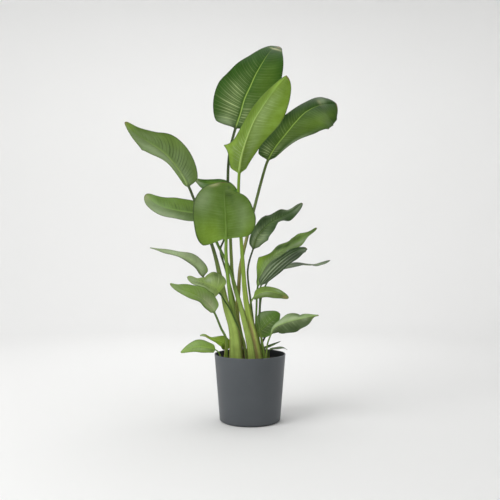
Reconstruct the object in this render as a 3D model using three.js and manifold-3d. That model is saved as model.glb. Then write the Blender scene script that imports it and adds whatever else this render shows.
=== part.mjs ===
// Potted bird of paradise: a tapered pot, the soil in it, and one closed piece for each leaf with its stalk.
// Millimetres, +Z up. The origin is the centre of the pot's underside, and the photo looks along +Y.
import * as THREE from "three";
import { mergeVertices } from "three/addons/utils/BufferGeometryUtils.js";
import Module from "manifold-3d";

const POT_HEIGHT = 225;
const POT_TOP_RADIUS = 120;
const POT_BOTTOM_RADIUS = 102;
const POT_WALL = 3.5;
const POT_FLOOR = 4;
const FOOT_STEP = 2.5;
const FOOT_INSET = 4;
const FOOT_DRAFT = 1;
const EDGE_ROUND = 1.2;
const SOIL_TOP = 200;
const SOIL_GAP = 0.35;
const ROOT_DEPTH = 42;
const SOIL_RISE = 3;
const POT_SIDES = 56;
const BLADE_EDGE = 0.9;
const BLADE_MIDDLE = 1.5;
const TIP_HALF_WIDTH = 1.2;
const LOBE_AT = 0.07;
const KEEL = 1.2;
const KEEL_TAPER = 0.8;
const WAVE_EASE = 0.6;
const RIGHT_WAVE_PHASE = 2.1;
const STALK_SIDES = 7;
const FIRST_SIDE = 5;
const SLOPE_STEP = 1e-3;
const RING_SPACING = 62;
const SHEATH_TAPER = 2.6;
const PLAIN_CELLS = 9;
const CELLS_PER_POINT = 0.8;
const CELLS_PER_WAVE = 0.4;
const END_CROWDING = 0.55;
const MERGE_WITHIN = 1e-3;
const ACROSS = [0, 0.36, 0.7, 1];
const WIDTH_STATIONS = [0, 0.1, 0.3, 0.5, 0.7, 0.9, 1];
const CORNER_REACH = 1.4;
const NO_LIFT = [[0, 0, 0, 0, 0], [0, 0, 0, 0, 0]];

const SLOTS = {
  pot: { color: 0x515457, roughness: 0.55 },
  soil: { color: 0x3a2b20, roughness: 1 },
  leaf: { color: 0x4c7a2b, roughness: 0.45 },
};

// Each leaf, in mm. soil: where its stalk enters the soil. stalk: centre line up to the blade.
// rib: the midrib. up: the way the upper side looks at the soil, the blade's base, its middle and its tip.
// left and right: half widths at 10, 30, 50, 70 and 90 % of the blade, seen from above with the tip away.
// sheath: width and depth at the soil. stem: radius at the blade. fold: how far each half rises, in degrees.
// curl: how far the edges bend down, as a share of the width. wave: size, count and phase of the edge waves.
// lobe: how far the base of each half falls back along the stalk.
// points: corners on the edge, each with its side (0 left, 1 right), place along the blade, size and length.
// lift: how far the edge of the left and right half rises besides, at the same places as the half widths.
const LEAVES = {
  leaf_top: {
    soil: [8, 14],
    stalk: [[4, 12, 269], [-16, 14, 344], [-40, 18, 405], [-58, 24, 473], [-64, 28, 548], [-70, 34, 695],
      [-76, 38, 816], [-70, 42, 912], [-51, 45, 992]],
    rib: [[-34, 49, 1045], [-19, 56, 1098], [0, 66, 1142], [20, 80, 1189], [44, 98, 1235], [68, 122, 1277],
      [88, 150, 1304], [101, 178, 1316]],
    up: [[0, -1, 0], [0.1, -1, 0.15], [0.05, -1, 0.2], [0, -0.7, 0.8]],
    left: [84, 106, 84, 54, 20], right: [60, 96, 98, 76, 34],
    sheath: [18, 13], stem: 4.6, fold: [8, 8], curl: [0.1, 0.1], wave: [3, 2.5, 0], lobe: [22, 12],
  },
  leaf_bright: {
    soil: [27, -12],
    stalk: [[11, -12, 289], [-7, -14, 367], [-17, -16, 434], [-24, -22, 528], [-32, -30, 648],
      [-38, -38, 755], [-36, -46, 827]],
    rib: [[-28, -56, 882], [-7, -72, 948], [16, -90, 1000], [50, -112, 1050], [86, -134, 1094],
      [117, -152, 1126]],
    up: [[0, 1, 0], [0.16, 1, 0.15], [0.58, 0.8, -0.06], [0.68, 0.7, -0.15]],
    left: [28, 52, 75, 80, 54], right: [46, 62, 71, 60, 34],
    sheath: [32, 13], stem: 5, fold: [30, 30], curl: [0.06, 0.06], wave: [2.5, 2, 0.4], lobe: [4, 8],
    points: [[1, 0.21, 46, 0.035]],
  },
  leaf_right_high: {
    soil: [-30, 24],
    stalk: [[-38, 28, 284], [-44, 34, 362], [-39, 36, 438], [-34, 34, 513], [-15, 30, 599], [14, 36, 716],
      [45, 46, 834], [61, 52, 883]],
    rib: [[87, 60, 930], [124, 72, 978], [160, 84, 1023], [198, 98, 1062], [246, 116, 1088],
      [288, 131, 1097], [311, 142, 1098]],
    up: [[0, -1, 0], [-0.2, -0.9, 0.4], [-0.1, -0.9, 0.45], [0, -0.9, 0.4]],
    left: [48, 58, 46, 42, 44], right: [26, 50, 88, 108, 80],
    sheath: [20, 10], stem: 4.8, fold: [12, 10], curl: [0.1, 0.1], wave: [3, 2.5, 1], lobe: [14, 2],
    points: [[1, 0.64, 10, 0.06]],
    lift: [[0, 0, 0, -10, -20], [0, 0, 0, 0, -6]],
  },
  leaf_left_high: {
    soil: [-46, -16],
    stalk: [[-55, -17, 306], [-79, -10, 383], [-99, 1, 474], [-123, -8, 575], [-158, -14, 670],
      [-189, -12, 747], [-205, -12, 786]],
    rib: [[-232, -18, 836], [-282, -26, 896], [-333, -34, 932], [-380, -42, 962], [-414, -52, 998]],
    up: [[0, 1, 0], [0.3, 0.85, 0.3], [0.4, 0.82, 0.4], [0.4, 0.8, 0.5]],
    left: [44, 70, 66, 40, 18], right: [24, 34, 44, 50, 30],
    sheath: [48, 16], stem: 4.6, fold: [32, 32], curl: [0.12, 0.1], wave: [3, 2.5, 0], lobe: [12, 10],
    points: [[1, 0.7, 16, 0.06]],
    lift: [[0, 0, 0, 0, 0], [0, 0, -6, -10, 0]],
  },
  leaf_front: {
    soil: [-42, 8],
    stalk: [[-52, 6, 331], [-66, -4, 416], [-76, -22, 501], [-80, -40, 568], [-79, -52, 610]],
    rib: [[-78, -80, 650], [-79, -112, 692], [-80, -152, 727], [-80, -204, 757], [-80, -262, 779]],
    up: [[0, 1, 0], [0, 0.8, 0.6], [0, 0.6, 0.75], [0, 0.3, 0.9]],
    left: [82, 98, 86, 66, 38], right: [88, 106, 102, 88, 54],
    sheath: [40, 12], stem: 5.4, fold: [6, 6], curl: [0.14, 0.14], wave: [4, 2, 0.6], lobe: [4, 44],
    points: [[0, 0.8, -26, 0.05]],
  },
  leaf_left_upper: {
    soil: [7, -31],
    stalk: [[-1, -29, 265], [-22, -20, 350], [-47, 0, 439], [-74, 15, 521], [-113, 21, 600],
      [-127, 23, 645], [-143, 24, 688]],
    rib: [[-170, 22, 700], [-205, 18, 704], [-245, 12, 710], [-290, 4, 720], [-328, -4, 738],
      [-353, -10, 761]],
    up: [[0, 1, 0], [0.1, 0.8, 0.5], [0.1, 0.7, 0.6], [0.1, 0.7, 0.6]],
    left: [34, 46, 46, 36, 24], right: [34, 52, 56, 54, 38],
    sheath: [30, 11], stem: 4.6, fold: [22, 22], curl: [0.1, 0.1], wave: [2, 2, 0], lobe: [4, 4],
  },
  leaf_back: {
    soil: [-12, 40],
    stalk: [[-41, 48, 341], [-59, 54, 416], [-86, 54, 513], [-103, 56, 575], [-91, 60, 609], [-72, 66, 671],
      [-64, 68, 736]],
    rib: [[-72, 70, 776], [-98, 70, 794], [-131, 70, 802], [-166, 70, 810], [-198, 70, 824]],
    up: [[0, -1, 0], [0.3, -0.8, 0.6], [0.25, -0.9, 0.45], [0.2, -0.9, 0.4]],
    left: [30, 44, 46, 36, 12], right: [26, 32, 26, 18, 8],
    sheath: [10, 8], stem: 3.2, fold: [20, 20], curl: [0.1, 0.1], wave: [1.5, 2, 0], lobe: [3, 3],
  },
  leaf_left_arch: {
    soil: [-60, 26],
    stalk: [[-59, 30, 301], [-79, 38, 389], [-121, 44, 444], [-160, 50, 480]],
    rib: [[-183, 60, 516], [-220, 76, 544], [-264, 98, 559], [-313, 124, 571], [-360, 150, 583]],
    up: [[0.3, -1, 0], [0.2, -0.5, 0.8], [0.1, -0.4, 0.9], [0, -0.4, 0.9]],
    left: [12, 18, 18, 14, 7], right: [32, 38, 30, 19, 8],
    sheath: [12, 9], stem: 3.2, fold: [16, 16], curl: [0.1, 0.1], wave: [1.5, 2.5, 0], lobe: [2, 2],
  },
  leaf_left_low: {
    soil: [-84, -20],
    stalk: [[-79, -22, 274], [-97, -26, 314], [-118, -32, 365]],
    rib: [[-138, -38, 394], [-163, -50, 417], [-197, -70, 435], [-231, -92, 448], [-258, -112, 465]],
    up: [[0.5, -1, 0], [0.4, -0.7, 0.6], [0.3, -0.6, 0.8], [0.3, -0.6, 0.8]],
    left: [22, 34, 38, 36, 22], right: [36, 48, 42, 28, 14],
    sheath: [12, 9], stem: 3.8, fold: [15, 15], curl: [0.1, 0.1], wave: [2, 2.5, 1], lobe: [2, 2],
  },
  leaf_left_broad: {
    soil: [-13, -37],
    stalk: [[-17, -36, 261], [-28, -34, 294], [-48, -34, 339], [-68, -34, 380], [-88, -35, 412],
      [-100, -38, 432]],
    rib: [[-115, -44, 450], [-140, -54, 462], [-168, -70, 472], [-205, -88, 485]],
    up: [[0.3, -1, 0], [0.4, -0.7, 0.6], [0.2, -0.6, 0.8], [0.2, -0.6, 0.8]],
    left: [36, 36, 34, 30, 24], right: [50, 58, 30, 14, 12],
    sheath: [8, 6], stem: 2.6, fold: [10, 20], curl: [0.1, 0.1], wave: [1.5, 2, 0], lobe: [4, 0],
    points: [[1, 0.5, -8, 0.05]],
  },
  leaf_over_rim: {
    soil: [-94, -26],
    stalk: [[-104, -28, 231], [-115, -32, 242]],
    rib: [[-140, -38, 250], [-169, -44, 254], [-199, -50, 249], [-229, -54, 236]],
    up: [[0.5, -1, 0], [0, -0.6, 0.8], [0, -0.6, 0.8], [-0.2, -0.5, 0.8]],
    left: [20, 26, 26, 20, 10], right: [24, 34, 34, 26, 12],
    sheath: [7, 6], stem: 2.4, fold: [10, 10], curl: [0.2, 0.2], wave: [1, 2, 0], lobe: [2, 2],
  },
  leaf_left_small: {
    soil: [-77, 4],
    stalk: [[-78, 0, 237]],
    rib: [[-88, -6, 260], [-108, -10, 270], [-131, -14, 276], [-151, -18, 286], [-168, -22, 287]],
    up: [[0.5, -1, 0], [0, -0.8, 0.5], [0, -0.8, 0.5], [0, -0.2, 0.9]],
    left: [16, 20, 12, 6, 8], right: [18, 22, 12, 6, 8],
    sheath: [13, 8], stem: 3, fold: [20, 20], curl: [0, 0], wave: [1, 2, 0], lobe: [1, 1],
  },
  leaf_right_upper: {
    soil: [26, 43],
    stalk: [[18, 44, 267], [4, 46, 386], [-8, 47, 492], [-3, 48, 534], [10, 51, 576]],
    rib: [[21, 54, 610], [42, 62, 642], [77, 80, 673], [116, 104, 693], [157, 128, 715], [188, 150, 744]],
    up: [[0, -1, 0], [0.1, -0.9, 0.3], [0.1, -0.8, 0.5], [0.1, -0.8, 0.5]],
    left: [22, 31, 30, 22, 10], right: [24, 36, 26, 28, 14],
    sheath: [12, 8], stem: 3, fold: [18, 18], curl: [0.1, 0.1], wave: [9, 3.5, 0], lobe: [2, 2],
    points: [[1, 0.2, 8, 0.05], [1, 0.5, -8, 0.08], [0, 0.45, 4, 0.04]],
  },
  leaf_right_wavy: {
    soil: [38, 12],
    stalk: [[32, 8, 256], [21, 0, 320], [22, 2, 378], [26, 6, 450]],
    rib: [[40, 12, 495], [64, 16, 534], [100, 24, 566], [142, 36, 592], [190, 48, 618], [232, 60, 651]],
    up: [[0, 1, 0], [-0.3, 0.9, 0.3], [-0.3, 0.8, 0.5], [-0.2, 0.8, 0.5]],
    left: [24, 36, 34, 28, 12], right: [12, 26, 18, 22, 12],
    sheath: [10, 8], stem: 3.2, fold: [25, 25], curl: [0.1, 0.1], wave: [10, 3.5, 1], lobe: [2, 4],
    points: [[1, 0.28, 14, 0.05], [1, 0.66, 6, 0.05]],
  },
  leaf_right_striped: {
    soil: [50, -4],
    stalk: [[42, -6, 258], [31, -12, 322], [33, -15, 393], [37, -13, 456]],
    rib: [[60, -22, 490], [94, -36, 526], [129, -56, 555], [160, -78, 573], [183, -97, 581]],
    up: [[0, 1, 0], [-0.3, 0.9, 0.3], [-0.3, 0.8, 0.5], [-0.2, 0.8, 0.5]],
    left: [26, 40, 50, 44, 20], right: [18, 24, 22, 18, 12],
    sheath: [10, 8], stem: 3, fold: [25, 25], curl: [0.1, 0.1], wave: [3, 2.5, 0], lobe: [2, 2],
    points: [[0, 0.88, 8, 0.06]],
  },
  leaf_right_far: {
    soil: [46, 44],
    stalk: [[35, 60, 334], [39, 63, 410], [62, 66, 466], [100, 72, 504]],
    rib: [[136, 80, 519], [173, 100, 524], [213, 124, 521], [252, 150, 523], [291, 178, 538]],
    up: [[0, -1, 0], [0, -0.2, 1], [0, -0.1, 1], [0, -0.1, 1]],
    left: [30, 44, 44, 28, 12], right: [30, 44, 44, 28, 12],
    sheath: [9, 7], stem: 2.8, fold: [15, 15], curl: [0.2, 0.2], wave: [2, 2.5, 0], lobe: [2, 2],
  },
  leaf_right_round: {
    soil: [10, 32],
    stalk: [[8, 30, 290], [3, 16, 360], [0, 0, 388], [12, -22, 416]],
    rib: [[34, -40, 431], [59, -54, 437], [85, -66, 434], [106, -76, 427], [125, -86, 417]],
    up: [[0, -1, 0], [-0.2, -0.7, 0.7], [-0.1, -0.7, 0.7], [0.2, -0.7, 0.7]],
    left: [26, 28, 22, 18, 12], right: [18, 24, 26, 24, 14],
    sheath: [9, 7], stem: 3.4, fold: [12, 12], curl: [0.2, 0.2], wave: [1, 2, 0], lobe: [2, 2],
  },
  leaf_low_dark: {
    soil: [32, 24],
    stalk: [[29, 22, 252], [21, 20, 268], [18, 20, 278]],
    rib: [[26, 26, 290], [50, 38, 311], [78, 54, 334], [102, 70, 356]],
    up: [[0, -1, 0], [-0.1, -0.9, 0.4], [-0.1, -0.9, 0.4], [-0.1, -0.9, 0.4]],
    left: [14, 34, 46, 42, 24], right: [26, 38, 36, 28, 14],
    sheath: [8, 6], stem: 2.6, fold: [10, 10], curl: [0, 0], wave: [1, 2, 0], lobe: [0, 0],
  },
  leaf_low_behind: {
    soil: [46, 58],
    stalk: [[38, 56, 241], [54, 60, 278]],
    rib: [[62, 66, 305], [70, 74, 331], [78, 86, 354]],
    up: [[0, -1, 0], [0.2, -0.9, 0.4], [0.2, -0.9, 0.4], [0.2, -0.9, 0.4]],
    left: [12, 18, 16, 12, 6], right: [12, 18, 16, 12, 6],
    sheath: [9, 7], stem: 3.2, fold: [15, 15], curl: [0, 0], wave: [1, 2, 0], lobe: [1, 1],
  },
  leaf_low_wavy: {
    soil: [54, -26],
    stalk: [[58, -28, 258], [70, -30, 293]],
    rib: [[80, -36, 314], [106, -48, 330], [137, -64, 342], [168, -82, 351], [197, -98, 359],
      [221, -114, 364]],
    up: [[0, -1, 0], [-0.1, -0.9, 0.4], [0, -0.9, 0.4], [0, -0.9, 0.4]],
    left: [7, 27, 31, 18, 8], right: [20, 34, 36, 28, 5],
    sheath: [8, 7], stem: 2.6, fold: [-18, -25], curl: [0.1, 0.1], wave: [5, 3, 0], lobe: [0, 1],
    points: [[0, 0.62, -6, 0.05]],
  },
  leaf_spear: {
    soil: [50, 10],
    stalk: [[48, 10, 239]],
    rib: [[65, 12, 245], [85, 14, 254], [104, 18, 263]],
    up: [[0, -1, 0], [-0.3, -0.5, 0.8], [-0.3, -0.5, 0.8], [-0.3, -0.5, 0.8]],
    left: [6, 8, 7, 5, 3], right: [6, 8, 7, 5, 3],
    sheath: [7, 6], stem: 2.2, fold: [30, 30], curl: [0, 0], wave: [0, 2, 0], lobe: [0, 0],
  },
  leaf_right_rim: {
    soil: [64, 28],
    stalk: [[68, 30, 232]],
    rib: [[93, 44, 236], [115, 60, 236], [130, 72, 227]],
    up: [[0, -1, 0], [0, -0.3, 0.9], [0, -0.3, 0.9], [0.3, -0.3, 0.9]],
    left: [7, 10, 9, 7, 3], right: [7, 10, 9, 7, 3],
    sheath: [7, 6], stem: 2, fold: [10, 10], curl: [0.1, 0.1], wave: [0, 2, 0], lobe: [0, 0],
  },
};

const add = (a, b, k = 1) => a.map((v, i) => v + b[i] * k);
const dot = (a, b) => a.reduce((sum, v, i) => sum + v * b[i], 0);
const cross = (a, b) => [a[1] * b[2] - a[2] * b[1], a[2] * b[0] - a[0] * b[2], a[0] * b[1] - a[1] * b[0]];
const unit = (a) => a.map((v) => v / Math.hypot(...a));
const mix = (a, b, k) => a + (b - a) * k;
const clamp = (v) => Math.min(1, Math.max(0, v));

// A smooth curve through points, each given at its own knot; at() and slope() read it anywhere.
function curve(knots, points) {
  const last = knots.length - 1;
  const tangents = points.map((_, i) => {
    const a = Math.max(0, i - 1);
    const b = Math.min(last, i + 1);
    return points[b].map((v, k) => (v - points[a][k]) / (knots[b] - knots[a]));
  });
  const place = (x) => {
    let i = 0;
    while (i < last - 1 && x > knots[i + 1]) i += 1;
    const h = knots[i + 1] - knots[i];
    return { i, h, s: (x - knots[i]) / h };
  };
  const at = (x) => {
    const { i, h, s } = place(x);
    const [s2, s3] = [s * s, s * s * s];
    return points[i].map((v, k) => v * (2 * s3 - 3 * s2 + 1) + points[i + 1][k] * (3 * s2 - 2 * s3)
      + tangents[i][k] * h * (s3 - 2 * s2 + s) + tangents[i + 1][k] * h * (s3 - s2));
  };
  const slope = (x) => {
    const step = (knots[last] - knots[0]) * SLOPE_STEP;
    const [a, b] = [Math.max(knots[0], x - step), Math.min(knots[last], x + step)];
    return unit(add(at(b), at(a), -1));
  };
  return { at, slope };
}

// The leaf's own centre line, the way its upper side looks along it, and its half widths.
function leafLines(leaf) {
  const start = [...leaf.soil, SOIL_TOP + SOIL_RISE];
  const points = [start, ...leaf.stalk, ...leaf.rib];
  const knots = [0];
  points.slice(1).forEach((p, i) => knots.push(knots[i] + Math.hypot(...add(p, points[i], -1))));
  const bladeAt = knots[leaf.stalk.length];
  const end = knots[knots.length - 1];
  const line = curve(knots, points);
  const facing = curve([0, bladeAt, (bladeAt + end) / 2, end], leaf.up);
  const angles = WIDTH_STATIONS.map((t) => Math.acos(1 - 2 * t));
  const half = (side) => curve(angles, [leaf.stem, ...leaf[side], TIP_HALF_WIDTH].map((v) => [v]));
  const halves = [half("left"), half("right")];
  const corners = leaf.points ?? [];
  const width = (side, t) => corners.filter(([where]) => where === side).reduce(
    (w, [, place, size, length]) => w + size * Math.exp(-Math.abs(t - place) / length),
    Math.max(TIP_HALF_WIDTH, halves[side].at(Math.acos(1 - 2 * clamp(t)))[0]));
  const lifts = (leaf.lift ?? NO_LIFT).map((heights) => curve(angles, [0, ...heights, 0].map((v) => [v])));
  const lift = (side, t) => lifts[side].at(Math.acos(1 - 2 * clamp(t)))[0];
  const frame = (x) => {
    const along = line.slope(x);
    const raw = facing.at(x);
    const up = unit(add(raw, along, -dot(raw, along)));
    return { origin: line.at(x), along, up, side: cross(along, up) };
  };
  return { bladeAt, end, frame, width, lift };
}

// One point of the blade's middle layer, u = 0 on the midrib and 1 on the edge, side 0 left or 1 right.
function bladePoint(leaf, lines, t, side, u) {
  const f = lines.frame(mix(lines.bladeAt, lines.end, t));
  const w = lines.width(side, t) * u;
  const sign = side === 0 ? -1 : 1;
  const fold = THREE.MathUtils.degToRad(leaf.fold[side]);
  const [size, count, phase] = leaf.wave;
  const ripple = size * u * u * Math.sin(Math.PI * clamp(t)) ** WAVE_EASE
    * Math.sin(2 * Math.PI * count * t + phase + side * RIGHT_WAVE_PHASE);
  const rise = w * Math.sin(fold) - leaf.curl[side] * w * u + ripple + lines.lift(side, t) * u * u;
  const back = -leaf.lobe[side] * u * u * (t / LOBE_AT) * Math.exp(1 - t / LOBE_AT);
  let p = add(f.origin, f.side, sign * w * Math.cos(fold));
  p = add(p, f.up, rise);
  return { point: add(p, f.along, back), up: f.up };
}

// The ring of points round the blade at t: over the upper side from left to right, then back under it.
function bladeRing(leaf, lines, t) {
  const across = [...ACROSS.slice(1).reverse().map((u) => [0, u]), ...ACROSS.map((u) => [1, u])];
  const top = [];
  const under = [];
  across.forEach(([side, u]) => {
    const { point, up } = bladePoint(leaf, lines, t, side, u);
    const keel = u === 0 ? leaf.stem * KEEL * (1 - t) ** KEEL_TAPER : 0;
    const thick = mix(BLADE_MIDDLE, BLADE_EDGE, u);
    top.push(add(point, up, thick / 2));
    under.push(add(point, up, -thick / 2 - keel));
  });
  return [...top, ...under.reverse()];
}

// An oval ring round the stalk, lying across the given frame.
function stalkRing(frame, wide, deep) {
  return Array.from({ length: STALK_SIDES }, (_, j) => {
    const angle = -Math.PI / 2 + ((FIRST_SIDE - j) * 2 * Math.PI) / STALK_SIDES;
    const out = add(frame.origin, frame.side, (Math.cos(angle) * wide) / 2);
    return add(out, frame.up, (Math.sin(angle) * deep) / 2);
  });
}

// The level frame that a stalk stands in, where it goes through the soil.
function groundFrame(leaf, z) {
  const up = unit([leaf.up[0][0], leaf.up[0][1], 0]);
  return { origin: [...leaf.soil, z], up, side: cross([0, 0, 1], up) };
}

function stalkRings(leaf, lines) {
  const [wide, deep] = leaf.sheath;
  const rings = [
    stalkRing(groundFrame(leaf, SOIL_TOP - ROOT_DEPTH), wide, deep),
    stalkRing(groundFrame(leaf, SOIL_TOP + SOIL_RISE), wide, deep),
  ];
  const count = Math.max(3, Math.round(lines.bladeAt / RING_SPACING));
  for (let i = 1; i < count; i += 1) {
    const s = i / count;
    const taper = (1 - s) ** SHEATH_TAPER;
    rings.push(stalkRing(lines.frame(lines.bladeAt * s),
      mix(leaf.stem * 2, wide, taper), mix(leaf.stem * 2, deep, taper)));
  }
  return rings;
}

// Places of the blade's rings along it: close together at its ends, and at each side of a corner.
function leafStations(leaf) {
  const count = Math.round(PLAIN_CELLS + leaf.rib.length * CELLS_PER_POINT + leaf.wave[0] * CELLS_PER_WAVE);
  const plain = Array.from({ length: count + 1 }, (_, i) => {
    const even = i / count;
    return mix(even, (1 - Math.cos(Math.PI * even)) / 2, END_CROWDING);
  });
  const corners = leaf.points ?? [];
  const clear = (t) => corners.every(([, place, , length]) => Math.abs(t - place) > length * CORNER_REACH);
  const atCorners = corners.flatMap(([, place, , length]) => [place - length, place, place + length]);
  return [...plain.filter(clear), ...atCorners].sort((a, b) => a - b);
}

// Triangles between two rings with the same number of points, or where the second has twice as many.
// Both faces of a blade are cut along the same diagonals, so that a waved blade keeps its thickness.
function joinRings(faces, a, b) {
  const double = b.count === 2 * a.count;
  for (let j = 0; j < a.count; j += 1) {
    const k = (j + 1) % a.count;
    if (double) {
      const at = (n) => b.start + (n % b.count);
      faces.push([a.start + j, at(2 * j), at(2 * j + 1)]);
      faces.push([a.start + j, at(2 * j + 1), at(2 * j + 2)]);
      faces.push([a.start + j, at(2 * j + 2), a.start + k]);
    } else {
      const [a1, a2, b1, b2] = [a.start + j, a.start + k, b.start + j, b.start + k];
      const under = a.count > STALK_SIDES && j >= a.count / 2;
      if (under) faces.push([a1, b1, a2], [a2, b1, b2]);
      else faces.push([a1, b1, b2], [a1, b2, a2]);
    }
  }
}

function leafShape(leaf) {
  const lines = leafLines(leaf);
  const rings = [...stalkRings(leaf, lines), ...leafStations(leaf).map((t) => bladeRing(leaf, lines, t))];
  const points = [];
  const faces = [];
  const spans = rings.map((ring) => {
    const start = points.length;
    points.push(...ring);
    return { start, count: ring.length };
  });
  for (let i = 1; i < spans.length; i += 1) joinRings(faces, spans[i - 1], spans[i]);
  for (let j = 2; j < STALK_SIDES; j += 1) faces.push([0, j - 1, j]);
  const tip = spans[spans.length - 1];
  const last = tip.count - 1;
  for (let j = 0; j < tip.count / 2 - 1; j += 1) {
    const [a, b, c, d] = [j, j + 1, last - j, last - j - 1].map((n) => n + tip.start);
    faces.push([a, c, b], [b, c, d]);
  }
  return closedShape(points, faces);
}

function volume(points, faces) {
  return faces.reduce((sum, [a, b, c]) => sum + dot(points[a], cross(points[b], points[c])) / 6, 0);
}

function closedShape(points, faces) {
  const turned = volume(points, faces) < 0 ? faces.map(([a, b, c]) => [a, c, b]) : faces;
  const geometry = new THREE.BufferGeometry();
  geometry.setAttribute("position", new THREE.Float32BufferAttribute(points.flat(), 3));
  geometry.setIndex(turned.flat());
  geometry.computeVertexNormals();
  return geometry;
}

function outerRadius(z) {
  return mix(POT_BOTTOM_RADIUS, POT_TOP_RADIUS, z / POT_HEIGHT);
}

function innerRadius(z) {
  return outerRadius(z) - POT_WALL;
}

// A solid of revolution about Z from points given as radius and height.
function turnedShape(profile) {
  const outline = profile.map(([r, z]) => new THREE.Vector2(r, z));
  return new THREE.LatheGeometry(outline, POT_SIDES).rotateX(Math.PI / 2);
}

// The pot's half outline: its foot, its outer wall, its rim, and down the inside to its floor.
function potShape() {
  const wallStart = FOOT_STEP + 2 * EDGE_ROUND;
  const rimStart = POT_HEIGHT - EDGE_ROUND;
  const profile = [
    [0, 0],
    [POT_BOTTOM_RADIUS - FOOT_INSET - FOOT_DRAFT, 0],
    [POT_BOTTOM_RADIUS - FOOT_INSET, FOOT_STEP],
    [POT_BOTTOM_RADIUS - EDGE_ROUND, FOOT_STEP + EDGE_ROUND / 2],
    [outerRadius(wallStart), wallStart],
    [outerRadius(rimStart), rimStart],
    [POT_TOP_RADIUS - EDGE_ROUND, POT_HEIGHT],
    [innerRadius(POT_HEIGHT) + EDGE_ROUND, POT_HEIGHT],
    [innerRadius(rimStart), rimStart],
    [innerRadius(POT_FLOOR), POT_FLOOR],
    [0, POT_FLOOR],
  ];
  return turnedShape(profile);
}

const kit = await Module();
kit.setup();

function solidOf(geometry) {
  const bare = new THREE.BufferGeometry().setAttribute("position", geometry.getAttribute("position"));
  if (geometry.index) bare.setIndex(geometry.index);
  const merged = mergeVertices(bare, MERGE_WITHIN);
  return new kit.Manifold(new kit.Mesh({
    numProp: 3,
    vertProperties: merged.getAttribute("position").array,
    triVerts: new Uint32Array(merged.index.array),
  }));
}

function geometryOf(solid) {
  const mesh = solid.getMesh();
  const geometry = new THREE.BufferGeometry();
  geometry.setAttribute("position", new THREE.BufferAttribute(mesh.vertProperties, mesh.numProp));
  geometry.setIndex(new THREE.BufferAttribute(mesh.triVerts, 1));
  geometry.computeVertexNormals();
  return geometry;
}

// The straight hole that one stalk stands in, a little wider than the stalk.
function holeShape(leaf) {
  const [wide, deep] = leaf.sheath.map((size) => size + 2 * SOIL_GAP);
  const ring = stalkRing(groundFrame(leaf, 0), wide, deep);
  const outline = new THREE.Shape(ring.map(([x, y]) => new THREE.Vector2(x, y)));
  const depth = ROOT_DEPTH + SOIL_GAP;
  const hole = new THREE.ExtrudeGeometry(outline, { depth: depth + SOIL_RISE, bevelEnabled: false });
  return hole.translate(0, 0, SOIL_TOP - depth);
}

// Soil that fills the pot to below its rim, with a plain hole for each stalk.
function soilShape() {
  const low = POT_FLOOR + SOIL_GAP;
  const profile = [
    [0, low],
    [innerRadius(low) - SOIL_GAP, low],
    [innerRadius(SOIL_TOP) - SOIL_GAP, SOIL_TOP],
    [0, SOIL_TOP],
  ];
  const holes = Object.values(LEAVES).map((leaf) => solidOf(holeShape(leaf)));
  const soil = holes.reduce((rest, hole) => rest.subtract(hole), solidOf(turnedShape(profile)));
  return geometryOf(soil);
}

function piece(name, geometry, slot) {
  const mesh = new THREE.Mesh(geometry, new THREE.MeshStandardMaterial(SLOTS[slot]));
  mesh.name = name;
  return mesh;
}

const group = new THREE.Group();
group.name = "potted_bird_of_paradise";
group.add(piece("pot", potShape(), "pot"), piece("soil", soilShape(), "soil"));
Object.entries(LEAVES).forEach(([name, leaf]) => group.add(piece(name, leafShape(leaf), "leaf")));

export default group;
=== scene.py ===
# Looks of the potted bird of paradise: finer leaves of the same form, the pot, the soil and a plain studio.
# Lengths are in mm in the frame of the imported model, and become metres where a mesh is made.
import math

import bmesh
import bpy
import numpy as np
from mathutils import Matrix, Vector


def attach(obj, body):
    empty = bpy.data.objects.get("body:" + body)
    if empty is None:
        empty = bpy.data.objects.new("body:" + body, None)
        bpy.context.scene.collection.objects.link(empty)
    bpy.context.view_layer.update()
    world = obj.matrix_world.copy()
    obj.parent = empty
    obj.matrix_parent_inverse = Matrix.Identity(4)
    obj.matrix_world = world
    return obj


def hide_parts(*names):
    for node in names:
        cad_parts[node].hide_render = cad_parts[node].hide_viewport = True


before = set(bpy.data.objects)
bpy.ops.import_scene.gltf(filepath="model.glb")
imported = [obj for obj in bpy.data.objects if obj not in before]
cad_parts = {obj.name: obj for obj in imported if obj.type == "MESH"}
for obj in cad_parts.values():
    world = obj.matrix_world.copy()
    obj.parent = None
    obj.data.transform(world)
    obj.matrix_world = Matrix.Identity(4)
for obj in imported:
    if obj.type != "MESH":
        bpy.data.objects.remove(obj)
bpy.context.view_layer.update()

MM = 0.001

# The pot and the soil, in mm.
POT_HEIGHT = 225
POT_TOP_RADIUS = 120
POT_BOTTOM_RADIUS = 102
POT_WALL = 3.5
POT_FLOOR = 4
POT_SIDES = 180
OUTSIDE_FROM = 9
OUTSIDE_TO = POT_HEIGHT - 4
OUTSIDE_STEPS = 12
FOOT_RADIUS = POT_BOTTOM_RADIUS - 1.6
FOOT_STEPS = [[-4.4, 0], [-3.4, 0.2], [-2.8, 1], [-2.4, 2.3], [-1.8, 2.6], [0, 2.9]]
FOOT_ROUND = 2
RIM_OUTER_ROUND = 1.1
RIM_INNER_ROUND = 1
SOIL_TOP = 200
SOIL_RISE = 3
SOIL_GAP = 0.3
SOIL_EDGE = 12
SOIL_RINGS = 90
SOIL_SIDES = 240
SOIL_SEED = 7
# Each size of hill in the soil: how long and how high.
SOIL_HILLS = [(70, 2.5), (24, 1.6), (9, 1.2), (4, 0.8)]
WAVES_PER_HILL = 5
CRUMBS = 1300
CRUMB_SIZE = (1.2, 4.2)
CRUMB_DENTS = 0.22
CRUMB_MARGIN = 4
CRUMB_LIFT = 0.4

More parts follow.
